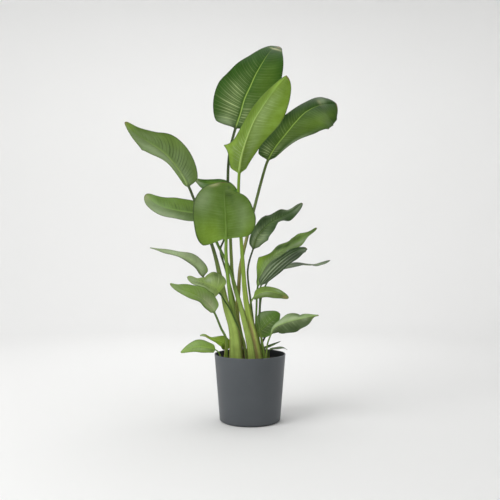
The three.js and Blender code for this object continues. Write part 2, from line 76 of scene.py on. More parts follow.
# The leaves, in mm, or as shares of their length and width.
STALK_START = 188
RING_SPACING = 9
FEWEST_RINGS = 14
SHEATH_TAPER = 2.6
STALK_RELIEF = 0.3
CHANNEL_DIP = 0.8
JOIN_CHANNEL = 0.6
JOIN_LENGTH = 0.05
TIP_HALF_WIDTH = 1.2
LOBE_AT = 0.07
WAVE_EASE = 0.6
RIGHT_WAVE_PHASE = 2.1
END_CROWDING = 0.5
WIDTH_STATIONS = [0, 0.1, 0.3, 0.5, 0.7, 0.9, 1]
NO_LIFT = [[0] * 5, [0] * 5]
NO_STRIPE = (0, 1, 0, 0, 0)
CURL = 0.1
BROWN = 0.1

BLADE_COLUMNS = [0.04, 0.1, 0.18, 0.28, 0.39, 0.5, 0.61, 0.71, 0.8, 0.88, 0.94, 0.98, 1]
BLADE_EDGE = 0.6
BLADE_MIDDLE = 1.2
RIB_COLUMNS = [0, 0.3, 0.58, 0.82, 1]
RIB_WIDTH = 0.85
RIB_TAPER = 0.8
RIB_TIP = 0.35
RIB_WIDEST_SHARE = 0.45
KEEL = 1.2
KEEL_TAPER = 1.8
GROOVE = 0.3
VEIN_PITCH = 9.5
FEWEST_VEINS = 8
ROWS_PER_VEIN = 6
VEIN_GAPS = (0.78, 1.22)
VEIN_SIZES = (0.5, 1.3)
VEIN_WIDTH = 0.17
FINE_VEIN_WIDTH = 0.14
VEIN_SWEEP = 0.45
SWEEP_POWER = 1.4
VEIN_DIP = 0.1
VEIN_RIDGE = 0.16
ROW_TURNS = 15

# The finish of the leaves: how rough and how waxy, and how much more so the underside is.
BLADE_ROUGH = 0.34
ROUGH_PER_WAX = 0.2
UNDERSIDE = [0.1, 0.2, 0]
STALK_ROUGH = 0.42
STALK_WAX = 0.2
# Places in the noise that keep the grain of the leaves, their halves and their stalks apart.
LEAF_GRAIN = 53
HALF_GRAIN = 7
STALK_GRAIN = 31

# Colours, as sRGB. The first eight are for the soft marks on the blades; all but the lime and the husk are
# painted light or shade, in whole or in part.
# Pale grey-green: painted sheen, a reflection of the light on the blade, and in places the pale wax bloom.
WAXY_GLARE = (170, 188, 148)
# Painted highlights along the ridges of the veins.
VEIN_GLINT = (196, 214, 150)
# Painted shade in the grooves of the veins.
FURROW_SHADE = (40, 62, 24)
# Painted highlights in thin lengthwise lines.
ROW_GLINT = (176, 190, 158)
# Pale cream: painted highlight where an edge or a tip bends into the light, and painted light on dimly lit
# parts.
CREAM_GLINT = (214, 210, 158)
LIME = (138, 172, 48)
# Dark green: mostly painted shade in folds, waves, bent tips and parts turned from the light, in places the
# blade's own darker green.
DEEP_SHADE = (36, 60, 24)
HUSK = (152, 118, 70)
# Veins painted lighter: partly their own paler colour, partly a painted highlight on their ridges.
PALE_VEIN = (168, 190, 118)
RIB_UPPER = (158, 188, 88)
RIB_UNDER = (166, 192, 104)
# A dark line along the blade's edge, in part painted shade where the edge curls over.
MARGIN = (52, 70, 34)
DRY_TIP = (112, 92, 58)
PAPERY = (170, 150, 96)
BLOOM = (150, 166, 132)
DRY_STREAK = (150, 124, 76)
STRIPE = (212, 184, 128)
POT_COLOUR = (76, 80, 84)
# Painted shade inside the pot.
POT_INSIDE_SHADE = (40, 43, 46)
SOIL_COLOUR = (64, 50, 38)
CRUMB_COLOURS = [(58, 44, 34), (78, 60, 44), (96, 74, 52), (46, 38, 32)]

# Each leaf's form, in mm. soil: where its stalk enters the soil. stalk: centre line up to the blade.
# rib: the midrib. up: the way the upper side looks at the soil, the blade's base, its middle and its tip.
# left and right: half widths at 10, 30, 50, 70 and 90 % of the blade, seen from above with the tip away.
# sheath: width and depth at the soil. stem: radius at the blade. fold: how far each half rises, in degrees.
# curl: how far the edges bend down, as a share of the width, CURL unless it is given.
# wave: size, count and phase of the edge waves. lobe: how far each half's base falls back along the stalk.
# points: corners on the edge, each with its side (0 left, 1 right), place along the blade, size and length.
# lift: how far the left and the right edge rise besides, at the places of the half widths.
# And its looks. tones: the upper side, the underside, the stalk at the blade and the stalk at the soil.
# Where a thin stalk runs behind other leaves its tone is painted darker, as shade.
# quilt: how far the blade swells between its veins, in mm. pale: how light the veins are painted,
# partly their own paler colour and partly a painted highlight on their ridges.
# wax: the dull bloom on the blade, 0 to 1. brown: dry streaks on the sheath, BROWN unless it is given.
# halves: how light each half is painted, as painted light and shade for how it faces the light.
# rib_shows: how much the midrib stands out, 1 unless it is given.
# sweep: how far the side veins lean towards the tip, VEIN_SWEEP unless it is given.
# stripe: a dry stripe on the stalk, with its place across, width, lowest and highest share, and strength.
# marks: soft patches, most of them painted highlights and painted shade, each with its colour and, in per
# cent, its place across (-100 at the left edge and 100 at the right), place along, width, length and
# strength.
# The painted vein highlights and furrow shade show on the veins alone, and the painted row highlights in
# thin lengthwise lines.
LEAVES = {}
LEAVES["leaf_top"] = dict(
    soil=[8, 14], stalk=[[4, 12, 269], [-16, 14, 344], [-40, 18, 405], [-58, 24, 473], [-64, 28, 548],
        [-70, 34, 695], [-76, 38, 816], [-70, 42, 912], [-51, 45, 992]],
    rib=[[-34, 49, 1045], [-19, 56, 1098], [0, 66, 1142], [20, 80, 1189], [44, 98, 1235], [68, 122, 1277],
        [88, 150, 1304], [101, 178, 1316]],
    up=[[0, -1, 0], [0.1, -1, 0.15], [0.05, -1, 0.2], [0, -0.7, 0.8]],
    left=[84, 106, 84, 54, 20], right=[60, 96, 98, 76, 34], sheath=[18, 13], stem=4.6,
    fold=8, wave=[3, 2.5, 0], lobe=[22, 12],
    tones=[(38, 77, 8), (104, 138, 70), (64, 78, 44), (140, 164, 78)], quilt=0.7, pale=0.3, wax=0.1,
    marks=[(VEIN_GLINT, -45, 22, 35, 20, 100), (VEIN_GLINT, 30, 14, 30, 12, 70), (WAXY_GLARE, -60, 4, 40, 5, 50),
        (DEEP_SHADE, 10, 82, 60, 12, 45), (VEIN_GLINT, -60, 5, 40, 6, 80), (FURROW_SHADE, 40, 45, 50, 30, 50),
        (CREAM_GLINT, 30, 88.5, 70, 1.4, 55), (HUSK, 50, 95, 30, 3, 70), (LIME, 50, 50, 40, 25, 15),
        (DEEP_SHADE, -20, 5, 20, 10, 30)])
LEAVES["leaf_bright"] = dict(
    soil=[27, -12], stalk=[[11, -12, 289], [-7, -14, 367], [-17, -16, 434], [-24, -22, 528],
        [-32, -30, 648], [-38, -38, 755], [-36, -46, 827]],
    rib=[[-28, -56, 882], [-7, -72, 948], [16, -90, 1000], [50, -112, 1050], [86, -134, 1094],
        [117, -152, 1126]],
    up=[[0, 1, 0], [0.16, 1, 0.15], [0.58, 0.8, -0.06], [0.68, 0.7, -0.15]],
    left=[28, 52, 75, 80, 54], right=[46, 62, 71, 60, 34], sheath=[32, 13], stem=5,
    fold=30, curl=0.06, wave=[2.5, 2, 0.4], lobe=[4, 8], points=[[1, 0.21, 46, 0.035]],
    tones=[(92, 130, 44), (95, 124, 21), (120, 150, 52), (146, 168, 76)], quilt=0.3, pale=0.22, wax=0.35,
    stripe=(0.15, 0.4, 0.02, 0.16, 0.7), marks=[(WAXY_GLARE, -15, 62, 25, 25, 22), (WAXY_GLARE, -50, 30, 25, 20, 20),
        (VEIN_GLINT, -20, 65, 30, 30, 25), (FURROW_SHADE, 50, 12, 40, 15, 80), (LIME, 80, 20, 20, 10, 50),
        (LIME, 40, 90, 40, 10, 55), (VEIN_GLINT, 40, 20, 40, 12, 30), (DEEP_SHADE, 75, 60, 30, 30, 20),
        (LIME, -75, 60, 30, 30, 25)])
LEAVES["leaf_right_high"] = dict(
    soil=[-30, 24], stalk=[[-38, 28, 284], [-44, 34, 362], [-39, 36, 438], [-34, 34, 513], [-15, 30, 599],
        [14, 36, 716], [45, 46, 834], [61, 52, 883]],
    rib=[[87, 60, 930], [124, 72, 978], [160, 84, 1023], [198, 98, 1062], [246, 116, 1088],
        [288, 131, 1097], [311, 142, 1098]],
    up=[[0, -1, 0], [-0.2, -0.9, 0.4], [-0.1, -0.9, 0.45], [0, -0.9, 0.4]],
    left=[48, 58, 46, 42, 44], right=[26, 50, 88, 108, 80], sheath=[20, 10], stem=4.8,
    fold=[12, 10], wave=[3, 2.5, 1], lobe=[14, 2], points=[[1, 0.64, 10, 0.06]],
    lift=[[0, 0, 0, -10, -20], [0, 0, 0, 0, -6]],
    tones=[(33, 66, 10), (120, 148, 86), (96, 114, 62), (150, 160, 84)], quilt=0.5, pale=0.25, wax=0.15,
    brown=0.15, stripe=(-0.3, 0.6, 0.3, 0.6, 0.4), marks=[(VEIN_GLINT, -50, 8, 40, 8, 100),
        (VEIN_GLINT, 40, 15, 30, 12, 70), (WAXY_GLARE, 92, 28, 10, 20, 50), (WAXY_GLARE, -35, 85, 40, 4, 35),
        (DEEP_SHADE, -60, 60, 30, 25, 40), (LIME, 60, 65, 35, 30, 30), (LIME, 10, 35, 60, 25, 20),
        (DEEP_SHADE, 12, 82, 30, 8, 30), (FURROW_SHADE, 40, 45, 50, 30, 40), (CREAM_GLINT, -30, 82, 30, 1.5, 20)])
LEAVES["leaf_left_high"] = dict(
    soil=[-46, -16], stalk=[[-55, -17, 306], [-79, -10, 383], [-99, 1, 474], [-123, -8, 575],
        [-158, -14, 670], [-189, -12, 747], [-205, -12, 786]],
    rib=[[-232, -18, 836], [-282, -26, 896], [-333, -34, 932], [-380, -42, 962], [-414, -52, 998]],
    up=[[0, 1, 0], [0.3, 0.85, 0.3], [0.4, 0.82, 0.4], [0.4, 0.8, 0.5]],
    left=[44, 70, 66, 40, 18], right=[24, 34, 44, 50, 30], sheath=[48, 16], stem=4.6,
    fold=32, curl=[0.12, 0.1], wave=[3, 2.5, 0], lobe=[12, 10], points=[[1, 0.7, 16, 0.06]],
    lift=[[0, 0, 0, 0, 0], [0, 0, -6, -10, 0]],
    tones=[(58, 94, 35), (88, 114, 46), (62, 76, 42), (148, 172, 84)], rib_shows=0.35, quilt=0.9, pale=0.1,
    wax=0.35, sweep=0.85, marks=[(HUSK, 0, 99, 100, 3, 40), (LIME, 0, 95, 100, 6, 40),
        (WAXY_GLARE, -10, 12, 30, 12, 35), (WAXY_GLARE, 60, 55, 40, 30, 50), (WAXY_GLARE, -40, 72, 30, 12, 15),
        (WAXY_GLARE, -40, 30, 50, 25, 15), (LIME, -70, 50, 30, 15, 20), (FURROW_SHADE, -50, 40, 60, 40, 100),
        (DEEP_SHADE, 12, 20, 8, 20, 40)])
LEAVES["leaf_front"] = dict(
    soil=[-42, 8], stalk=[[-52, 6, 331], [-66, -4, 416], [-76, -22, 501], [-80, -40, 568], [-79, -52, 610]],
    rib=[[-78, -80, 650], [-79, -112, 692], [-80, -152, 727], [-80, -204, 757], [-80, -262, 779]],
    up=[[0, 1, 0], [0, 0.8, 0.6], [0, 0.6, 0.75], [0, 0.3, 0.9]],
    left=[82, 98, 86, 66, 38], right=[88, 106, 102, 88, 54], sheath=[40, 12], stem=5.4,
    fold=6, curl=0.14, wave=[4, 2, 0.6], lobe=[4, 44], points=[[0, 0.8, -26, 0.05]],
    tones=[(56, 92, 38), (93, 126, 38), (116, 148, 60), (148, 170, 88)], rib_shows=0.25, quilt=0.35,
    pale=0.2, wax=0.3, marks=[(LIME, 60, 12, 45, 16, 60), (CREAM_GLINT, 60, 93, 25, 5, 70),
        (WAXY_GLARE, 75, 62, 30, 22, 50), (DEEP_SHADE, -10, 72, 25, 20, 35), (WAXY_GLARE, -60, 35, 25, 25, 30),
        (LIME, -80, 15, 20, 20, 30), (DEEP_SHADE, 15, 30, 12, 30, 20), (VEIN_GLINT, -35, 80, 30, 12, 50),
        (FURROW_SHADE, -30, 72, 25, 15, 90), (DEEP_SHADE, -45, 86, 12, 5, 60), (DEEP_SHADE, -30, 60, 10, 15, 25)])
LEAVES["leaf_left_upper"] = dict(
    soil=[7, -31], stalk=[[-1, -29, 265], [-22, -20, 350], [-47, 0, 439], [-74, 15, 521], [-113, 21, 600],
        [-127, 23, 645], [-143, 24, 688]],
    rib=[[-170, 22, 700], [-205, 18, 704], [-245, 12, 710], [-290, 4, 720], [-328, -4, 738],
        [-353, -10, 761]],
    up=[[0, 1, 0], [0.1, 0.8, 0.5], [0.1, 0.7, 0.6], [0.1, 0.7, 0.6]],
    left=[34, 46, 46, 36, 24], right=[34, 52, 56, 54, 38], sheath=[30, 11], stem=4.6,
    fold=22, wave=[2, 2, 0], lobe=4,
    tones=[(77, 118, 50), (104, 136, 62), (90, 120, 52), (144, 168, 80)], rib_shows=0.3, quilt=0.45,
    pale=0.3, wax=0.4, halves=(1.1, 0.9), marks=[(WAXY_GLARE, 80, 65, 45, 30, 80), (LIME, -60, 35, 50, 30, 30),
        (FURROW_SHADE, -40, 45, 60, 40, 80), (CREAM_GLINT, 20, 97, 80, 6, 30), (DEEP_SHADE, 10, 30, 40, 14, 30),
        (WAXY_GLARE, 10, 80, 40, 20, 25)])
LEAVES["leaf_back"] = dict(
    soil=[-12, 40], stalk=[[-41, 48, 341], [-59, 54, 416], [-86, 54, 513], [-103, 56, 575], [-91, 60, 609],
        [-72, 66, 671], [-64, 68, 736]],
    rib=[[-72, 70, 776], [-98, 70, 794], [-131, 70, 802], [-166, 70, 810], [-198, 70, 824]],
    up=[[0, -1, 0], [0.3, -0.8, 0.6], [0.25, -0.9, 0.45], [0.2, -0.9, 0.4]],
    left=[30, 44, 46, 36, 12], right=[26, 32, 26, 18, 8], sheath=[10, 8], stem=3.2,
    fold=20, wave=[1.5, 2, 0], lobe=3,
    tones=[(84, 126, 48), (100, 130, 66), (60, 74, 44), (128, 156, 66)], quilt=0.35, pale=0.15, wax=0.2,
    brown=0.2, marks=[(CREAM_GLINT, 0, 98, 100, 8, 70), (DEEP_SHADE, 75, 60, 20, 30, 40), (WAXY_GLARE, -40, 85, 40, 10, 60),
        (LIME, 30, 60, 30, 15, 35)])
LEAVES["leaf_left_arch"] = dict(
    soil=[-60, 26], stalk=[[-59, 30, 301], [-79, 38, 389], [-121, 44, 444], [-160, 50, 480]],
    rib=[[-183, 60, 516], [-220, 76, 544], [-264, 98, 559], [-313, 124, 571], [-360, 150, 583]],
    up=[[0.3, -1, 0], [0.2, -0.5, 0.8], [0.1, -0.4, 0.9], [0, -0.4, 0.9]],
    left=[12, 18, 18, 14, 7], right=[32, 38, 30, 19, 8], sheath=[12, 9], stem=3.2,
    fold=16, wave=[1.5, 2.5, 0], lobe=2,
    tones=[(126, 144, 98), (118, 144, 98), (58, 72, 44), (128, 156, 66)], rib_shows=0.3, quilt=0.6,
    pale=0.2, wax=0.6, marks=[(WAXY_GLARE, 30, 12, 40, 12, 60), (WAXY_GLARE, 30, 60, 50, 20, 60),
        (VEIN_GLINT, 20, 30, 70, 25, 80), (LIME, 90, 8, 30, 6, 50), (DEEP_SHADE, 43, 30, 30, 14, 20),
        (FURROW_SHADE, 30, 35, 80, 40, 50), (DEEP_SHADE, -95, 30, 20, 40, 70), (DEEP_SHADE, 100, 30, 12, 50, 60)])
LEAVES["leaf_left_low"] = dict(
    soil=[-84, -20], stalk=[[-79, -22, 274], [-97, -26, 314], [-118, -32, 365]],
    rib=[[-138, -38, 394], [-163, -50, 417], [-197, -70, 435], [-231, -92, 448], [-258, -112, 465]],
    up=[[0.5, -1, 0], [0.4, -0.7, 0.6], [0.3, -0.6, 0.8], [0.3, -0.6, 0.8]],
    left=[22, 34, 38, 36, 22], right=[36, 48, 42, 28, 14], sheath=[12, 9], stem=3.8,
    fold=15, wave=[2, 2.5, 1], lobe=2,
    tones=[(145, 178, 86), (124, 150, 96), (104, 132, 68), (136, 166, 70)], rib_shows=0.5, quilt=0.6,
    pale=0.3, wax=0.4, marks=[(WAXY_GLARE, 10, 14, 60, 14, 80), (LIME, 0, 50, 60, 12, 40),
        (VEIN_GLINT, 10, 30, 80, 25, 100), (WAXY_GLARE, 0, 85, 90, 15, 40), (FURROW_SHADE, -30, 50, 60, 30, 20),
        (DEEP_SHADE, -95, 25, 15, 30, 50), (WAXY_GLARE, -10, 20, 50, 20, 70), (CREAM_GLINT, -5, 18, 50, 14, 35)])
LEAVES["leaf_left_broad"] = dict(
    soil=[-13, -37], stalk=[[-17, -36, 261], [-28, -34, 294], [-48, -34, 339], [-68, -34, 380],
        [-88, -35, 412], [-100, -38, 432]],
    rib=[[-115, -44, 450], [-140, -54, 462], [-168, -70, 472], [-205, -88, 485]],
    up=[[0.3, -1, 0], [0.4, -0.7, 0.6], [0.2, -0.6, 0.8], [0.2, -0.6, 0.8]],
    left=[36, 36, 34, 30, 24], right=[50, 58, 30, 14, 12], sheath=[8, 6], stem=2.6,
    fold=[10, 20], wave=[1.5, 2, 0], lobe=[4, 0], points=[[1, 0.5, -8, 0.05]],
    tones=[(148, 172, 96), (112, 142, 78), (66, 90, 42), (92, 118, 50)], rib_shows=0.3, quilt=0.6, pale=0.2,
    wax=0.3, marks=[(WAXY_GLARE, 0, 85, 80, 15, 70), (DEEP_SHADE, 80, 25, 30, 12, 75), (LIME, 30, 5, 50, 10, 60),
        (WAXY_GLARE, 38, 39, 20, 9, 100), (DEEP_SHADE, 45, 18, 30, 7, 35), (WAXY_GLARE, -80, 65, 20, 30, 60),
        (DEEP_SHADE, -50, 60, 8, 25, 50), (FURROW_SHADE, 0, 60, 90, 40, 40), (HUSK, 95, 85, 15, 12, 40),
        (VEIN_GLINT, 60, 20, 30, 15, 80)])
LEAVES["leaf_over_rim"] = dict(
    soil=[-94, -26], stalk=[[-104, -28, 231], [-115, -32, 242]],
    rib=[[-140, -38, 250], [-169, -44, 254], [-199, -50, 249], [-229, -54, 236]],
    up=[[0.5, -1, 0], [0, -0.6, 0.8], [0, -0.6, 0.8], [-0.2, -0.5, 0.8]],
    left=[20, 26, 26, 20, 10], right=[24, 34, 34, 26, 12], sheath=[7, 6], stem=2.4,
    fold=10, curl=0.2, wave=[1, 2, 0], lobe=2,
    tones=[(122, 154, 62), (122, 152, 84), (112, 146, 56), (136, 166, 68)], rib_shows=0.7, quilt=0.35,
    pale=0.25, wax=0.3, halves=(1.06, 1.08), marks=[(LIME, 60, 10, 50, 15, 30),
        (WAXY_GLARE, -50, 50, 25, 40, 35), (FURROW_SHADE, 0, 50, 80, 40, 40), (DEEP_SHADE, 90, 60, 15, 40, 30),
        (WAXY_GLARE, 35, 70, 50, 30, 30), (DEEP_SHADE, -45, 14, 40, 12, 35)])
LEAVES["leaf_left_small"] = dict(
    soil=[-77, 4], stalk=[[-78, 0, 237]],
    rib=[[-88, -6, 260], [-108, -10, 270], [-131, -14, 276], [-151, -18, 286], [-168, -22, 287]],
    up=[[0.5, -1, 0], [0, -0.8, 0.5], [0, -0.8, 0.5], [0, -0.2, 0.9]],
    left=[16, 20, 12, 6, 8], right=[18, 22, 12, 6, 8], sheath=[13, 8], stem=3,
    fold=20, curl=0, wave=[1, 2, 0], lobe=1,
    tones=[(130, 160, 50), (126, 156, 76), (118, 150, 52), (142, 172, 68)], quilt=0.2, pale=0.15, wax=0.2,
    brown=0.2, marks=[(WAXY_GLARE, 0, 93, 100, 12, 60), (HUSK, 0, 78, 100, 5, 40), (WAXY_GLARE, 95, 57, 30, 7, 90),
        (DEEP_SHADE, 90, 36, 30, 6, 20)])
LEAVES["leaf_right_upper"] = dict(
    soil=[26, 43], stalk=[[18, 44, 267], [4, 46, 386], [-8, 47, 492], [-3, 48, 534], [10, 51, 576]],
    rib=[[21, 54, 610], [42, 62, 642], [77, 80, 673], [116, 104, 693], [157, 128, 715], [188, 150, 744]],
    up=[[0, -1, 0], [0.1, -0.9, 0.3], [0.1, -0.8, 0.5], [0.1, -0.8, 0.5]],
    left=[22, 31, 30, 22, 10], right=[24, 36, 26, 28, 14], sheath=[12, 8], stem=3,
    fold=18, wave=[9, 3.5, 0], lobe=2, points=[[1, 0.2, 8, 0.05], [1, 0.5, -8, 0.08], [0, 0.45, 4, 0.04]],
    tones=[(58, 83, 45), (92, 118, 74), (64, 80, 44), (104, 128, 52)], rib_shows=0.35, quilt=0.5, pale=0.3,
    wax=0.3, marks=[(WAXY_GLARE, 55, 14, 35, 10, 60), (WAXY_GLARE, -40, 12, 25, 15, 60), (VEIN_GLINT, 20, 15, 60, 15, 50),
        (WAXY_GLARE, 20, 92, 50, 10, 50), (WAXY_GLARE, -70, 86, 20, 20, 50), (DEEP_SHADE, -60, 45, 30, 30, 60),
        (DEEP_SHADE, 10, 28, 20, 8, 50), (DEEP_SHADE, 80, 62, 30, 8, 50)])
LEAVES["leaf_right_wavy"] = dict(
    soil=[38, 12], stalk=[[32, 8, 256], [21, 0, 320], [22, 2, 378], [26, 6, 450]],
    rib=[[40, 12, 495], [64, 16, 534], [100, 24, 566], [142, 36, 592], [190, 48, 618], [232, 60, 651]],
    up=[[0, 1, 0], [-0.3, 0.9, 0.3], [-0.3, 0.8, 0.5], [-0.2, 0.8, 0.5]],
    left=[24, 36, 34, 28, 12], right=[12, 26, 18, 22, 12], sheath=[10, 8], stem=3.2,
    fold=25, wave=[10, 3.5, 1], lobe=[2, 4], points=[[1, 0.28, 14, 0.05], [1, 0.66, 6, 0.05]],
    tones=[(100, 138, 52), (127, 160, 77), (90, 120, 52), (122, 152, 62)], rib_shows=0.3, quilt=0.4,
    pale=0.25, wax=0.3, marks=[(WAXY_GLARE, -30, 25, 50, 30, 50), (VEIN_GLINT, 0, 40, 50, 15, 80),
        (LIME, 75, 27, 35, 12, 80), (DEEP_SHADE, 70, 50, 35, 7, 90), (DEEP_SHADE, 30, 58, 25, 7, 70),
        (LIME, 40, 72, 20, 6, 40), (DEEP_SHADE, 50, 72, 40, 12, 60), (WAXY_GLARE, -40, 74, 35, 12, 80),
        (DEEP_SHADE, 0, 95, 100, 9, 60), (LIME, 50, 37, 20, 6, 40)])
LEAVES["leaf_right_striped"] = dict(
    soil=[50, -4], stalk=[[42, -6, 258], [31, -12, 322], [33, -15, 393], [37, -13, 456]],
    rib=[[60, -22, 490], [94, -36, 526], [129, -56, 555], [160, -78, 573], [183, -97, 581]],
    up=[[0, 1, 0], [-0.3, 0.9, 0.3], [-0.3, 0.8, 0.5], [-0.2, 0.8, 0.5]],
    left=[26, 40, 50, 44, 20], right=[18, 24, 22, 18, 12], sheath=[10, 8], stem=3,
    fold=25, wave=[3, 2.5, 0], lobe=2, points=[[0, 0.88, 8, 0.06]],
    tones=[(62, 88, 54), (46, 69, 35), (70, 92, 50), (112, 142, 58)], rib_shows=0.1, quilt=0.25, pale=0.1,
    wax=0.4, marks=[(DEEP_SHADE, -10, 76, 90, 22, 80), (DEEP_SHADE, -60, 40, 40, 40, 40), (ROW_GLINT, -10, 33, 90, 36, 85),
        (WAXY_GLARE, 65, 20, 30, 16, 45), (WAXY_GLARE, -20, 92, 50, 8, 30)])
LEAVES["leaf_right_far"] = dict(
    soil=[46, 44], stalk=[[35, 60, 334], [39, 63, 410], [62, 66, 466], [100, 72, 504]],
    rib=[[136, 80, 519], [173, 100, 524], [213, 124, 521], [252, 150, 523], [291, 178, 538]],
    up=[[0, -1, 0], [0, -0.2, 1], [0, -0.1, 1], [0, -0.1, 1]],
    left=[30, 44, 44, 28, 12], right=[30, 44, 44, 28, 12], sheath=[9, 7], stem=2.8,
    fold=15, curl=0.2, wave=[2, 2.5, 0], lobe=2,
    tones=[(84, 104, 68), (98, 116, 84), (70, 92, 50), (108, 138, 54)], quilt=0.3, pale=0.1, wax=0.5,
    marks=[(DEEP_SHADE, 0, 38, 200, 14, 100), (DEEP_SHADE, 0, 96, 200, 6, 50), (WAXY_GLARE, 0, 75, 100, 15, 35)])
LEAVES["leaf_right_round"] = dict(
    soil=[10, 32], stalk=[[8, 30, 290], [3, 16, 360], [0, 0, 388], [12, -22, 416]],
    rib=[[34, -40, 431], [59, -54, 437], [85, -66, 434], [106, -76, 427], [125, -86, 417]],
    up=[[0, -1, 0], [-0.2, -0.7, 0.7], [-0.1, -0.7, 0.7], [0.2, -0.7, 0.7]],
    left=[26, 28, 22, 18, 12], right=[18, 24, 26, 24, 14], sheath=[9, 7], stem=3.4,
    fold=12, curl=0.2, wave=[1, 2, 0], lobe=2,
    tones=[(102, 126, 56), (122, 148, 82), (120, 150, 66), (132, 160, 66)], rib_shows=0.5, quilt=0.35,
    pale=0.2, wax=0.3, halves=(1.08, 0.88), marks=[(WAXY_GLARE, 30, 35, 35, 20, 35), (HUSK, 20, 92, 50, 6, 60),
        (FURROW_SHADE, 0, 50, 80, 35, 40), (WAXY_GLARE, -50, 70, 25, 10, 40), (LIME, -50, 12, 50, 15, 35),
        (DEEP_SHADE, 30, 80, 40, 6, 40), (DEEP_SHADE, 85, 50, 20, 30, 30)])
LEAVES["leaf_low_dark"] = dict(
    soil=[32, 24], stalk=[[29, 22, 252], [21, 20, 268], [18, 20, 278]],
    rib=[[26, 26, 290], [50, 38, 311], [78, 54, 334], [102, 70, 356]],
    up=[[0, -1, 0], [-0.1, -0.9, 0.4], [-0.1, -0.9, 0.4], [-0.1, -0.9, 0.4]],
    left=[14, 34, 46, 42, 24], right=[26, 38, 36, 28, 14], sheath=[8, 6], stem=2.6,
    fold=10, curl=0, wave=[1, 2, 0], lobe=0,
    tones=[(101, 141, 54), (100, 128, 74), (84, 108, 56), (112, 142, 56)], rib_shows=0.8, quilt=0.45,
    pale=0.3, wax=0.2, marks=[(WAXY_GLARE, -78, 60, 25, 30, 55), (DEEP_SHADE, 40, 42, 50, 35, 70),
        (DEEP_SHADE, -80, 15, 30, 15, 40), (VEIN_GLINT, 0, 50, 80, 30, 80)])
# Its stalk is painted near black all the way down: painted shade, as it stands behind the others.
LEAVES["leaf_low_behind"] = dict(
    soil=[46, 58], stalk=[[38, 56, 241], [54, 60, 278]],
    rib=[[62, 66, 305], [70, 74, 331], [78, 86, 354]],
    up=[[0, -1, 0], [0.2, -0.9, 0.4], [0.2, -0.9, 0.4], [0.2, -0.9, 0.4]],
    left=[12, 18, 16, 12, 6], right=[12, 18, 16, 12, 6], sheath=[9, 7], stem=3.2,
    fold=15, curl=0, wave=[1, 2, 0], lobe=1,
    tones=[(60, 92, 44), (96, 122, 72), (34, 40, 30), (46, 54, 36)], quilt=0.3, pale=0.12, wax=0.2)
LEAVES["leaf_low_wavy"] = dict(
    soil=[54, -26], stalk=[[58, -28, 258], [70, -30, 293]],
    rib=[[80, -36, 314], [106, -48, 330], [137, -64, 342], [168, -82, 351], [197, -98, 359],
        [221, -114, 364]],
    up=[[0, -1, 0], [-0.1, -0.9, 0.4], [0, -0.9, 0.4], [0, -0.9, 0.4]],
    left=[7, 27, 31, 18, 8], right=[20, 34, 36, 28, 5], sheath=[8, 7], stem=2.6,
    fold=[-18, -25], wave=[5, 3, 0], lobe=[0, 1], points=[[0, 0.62, -6, 0.05]],
    tones=[(120, 142, 92), (118, 142, 88), (112, 138, 70), (122, 150, 64)], quilt=0.45, pale=0.2, wax=0.3,
    halves=(1.25, 0.5), rib_shows=0.6, marks=[(WAXY_GLARE, -40, 30, 40, 30, 75), (DEEP_SHADE, 70, 40, 50, 35, 65),
        (LIME, 0, 90, 100, 8, 25), (VEIN_GLINT, 0, 35, 80, 30, 20), (DEEP_SHADE, -80, 60, 30, 12, 60),
        (WAXY_GLARE, -30, 54, 20, 10, 60), (DEEP_SHADE, 25, 30, 25, 15, 35), (WAXY_GLARE, 10, 74, 30, 6, 30)])
LEAVES["leaf_spear"] = dict(
    soil=[50, 10], stalk=[[48, 10, 239]],
    rib=[[65, 12, 245], [85, 14, 254], [104, 18, 263]],
    up=[[0, -1, 0], [-0.3, -0.5, 0.8], [-0.3, -0.5, 0.8], [-0.3, -0.5, 0.8]],
    left=[6, 8, 7, 5, 3], right=[6, 8, 7, 5, 3], sheath=[7, 6], stem=2.2,
    fold=30, curl=0, wave=[0, 2, 0], lobe=0,
    tones=[(62, 88, 46), (80, 104, 58), (84, 108, 54), (104, 132, 54)], quilt=0.15, pale=0.1, wax=0.2)
LEAVES["leaf_right_rim"] = dict(
    soil=[64, 28], stalk=[[68, 30, 232]],
    rib=[[93, 44, 236], [115, 60, 236], [130, 72, 227]],
    up=[[0, -1, 0], [0, -0.3, 0.9], [0, -0.3, 0.9], [0.3, -0.3, 0.9]],
    left=[7, 10, 9, 7, 3], right=[7, 10, 9, 7, 3], sheath=[7, 6], stem=2,
    fold=10, wave=[0, 2, 0], lobe=0,
    tones=[(66, 90, 54), (88, 110, 66), (84, 108, 54), (104, 132, 54)], quilt=0.15, pale=0.1, wax=0.3)

# The studio, in mm.
FLOOR_RADIUS = 2600
SWEEP_RADIUS = 1400
SWEEP_STEPS = 24
STAGE_SIDES = 96
WALL_TOP = 5000
FLOOR_DROP = 0.4
PAPER_WHITE = (0.85, 0.85, 0.845, 1)
AIR_LIGHT = 0.34
# Each light, in metres and watts: its name, its place, what it is aimed at, its width and its power.
LIGHTS = [
    ("key", (-2.2, -1.8, 2.6), (0, 0, 0.5), 2.6, 72),
    ("fill", (2.6, -2.2, 1.6), (0, 0, 0.6), 2.6, 1.5),
    ("overhead", (0.2, 0.6, 3.6), (0, 0, 0.6), 3.2, 36),
    ("behind", (-0.2, 1.5, 2.4), (-0.2, 4.2, 0.2), 1.6, 18),
]
CAMERA_PLACE = (0, -2.35, 0.575)
CAMERA_LENS = 50
CAMERA_SENSOR = 36


def linear(colour):
    """sRGB from 0 to 255 as linear light."""
    c = np.array(colour, float) / 255
    return np.where(c <= 0.04045, c / 12.92, ((c + 0.055) / 1.055) ** 2.4)


def unit(v):
    return v / np.maximum(np.linalg.norm(v, axis=-1, keepdims=True), 1e-12)


def mix(a, b, k):
    return a + (b - a) * k


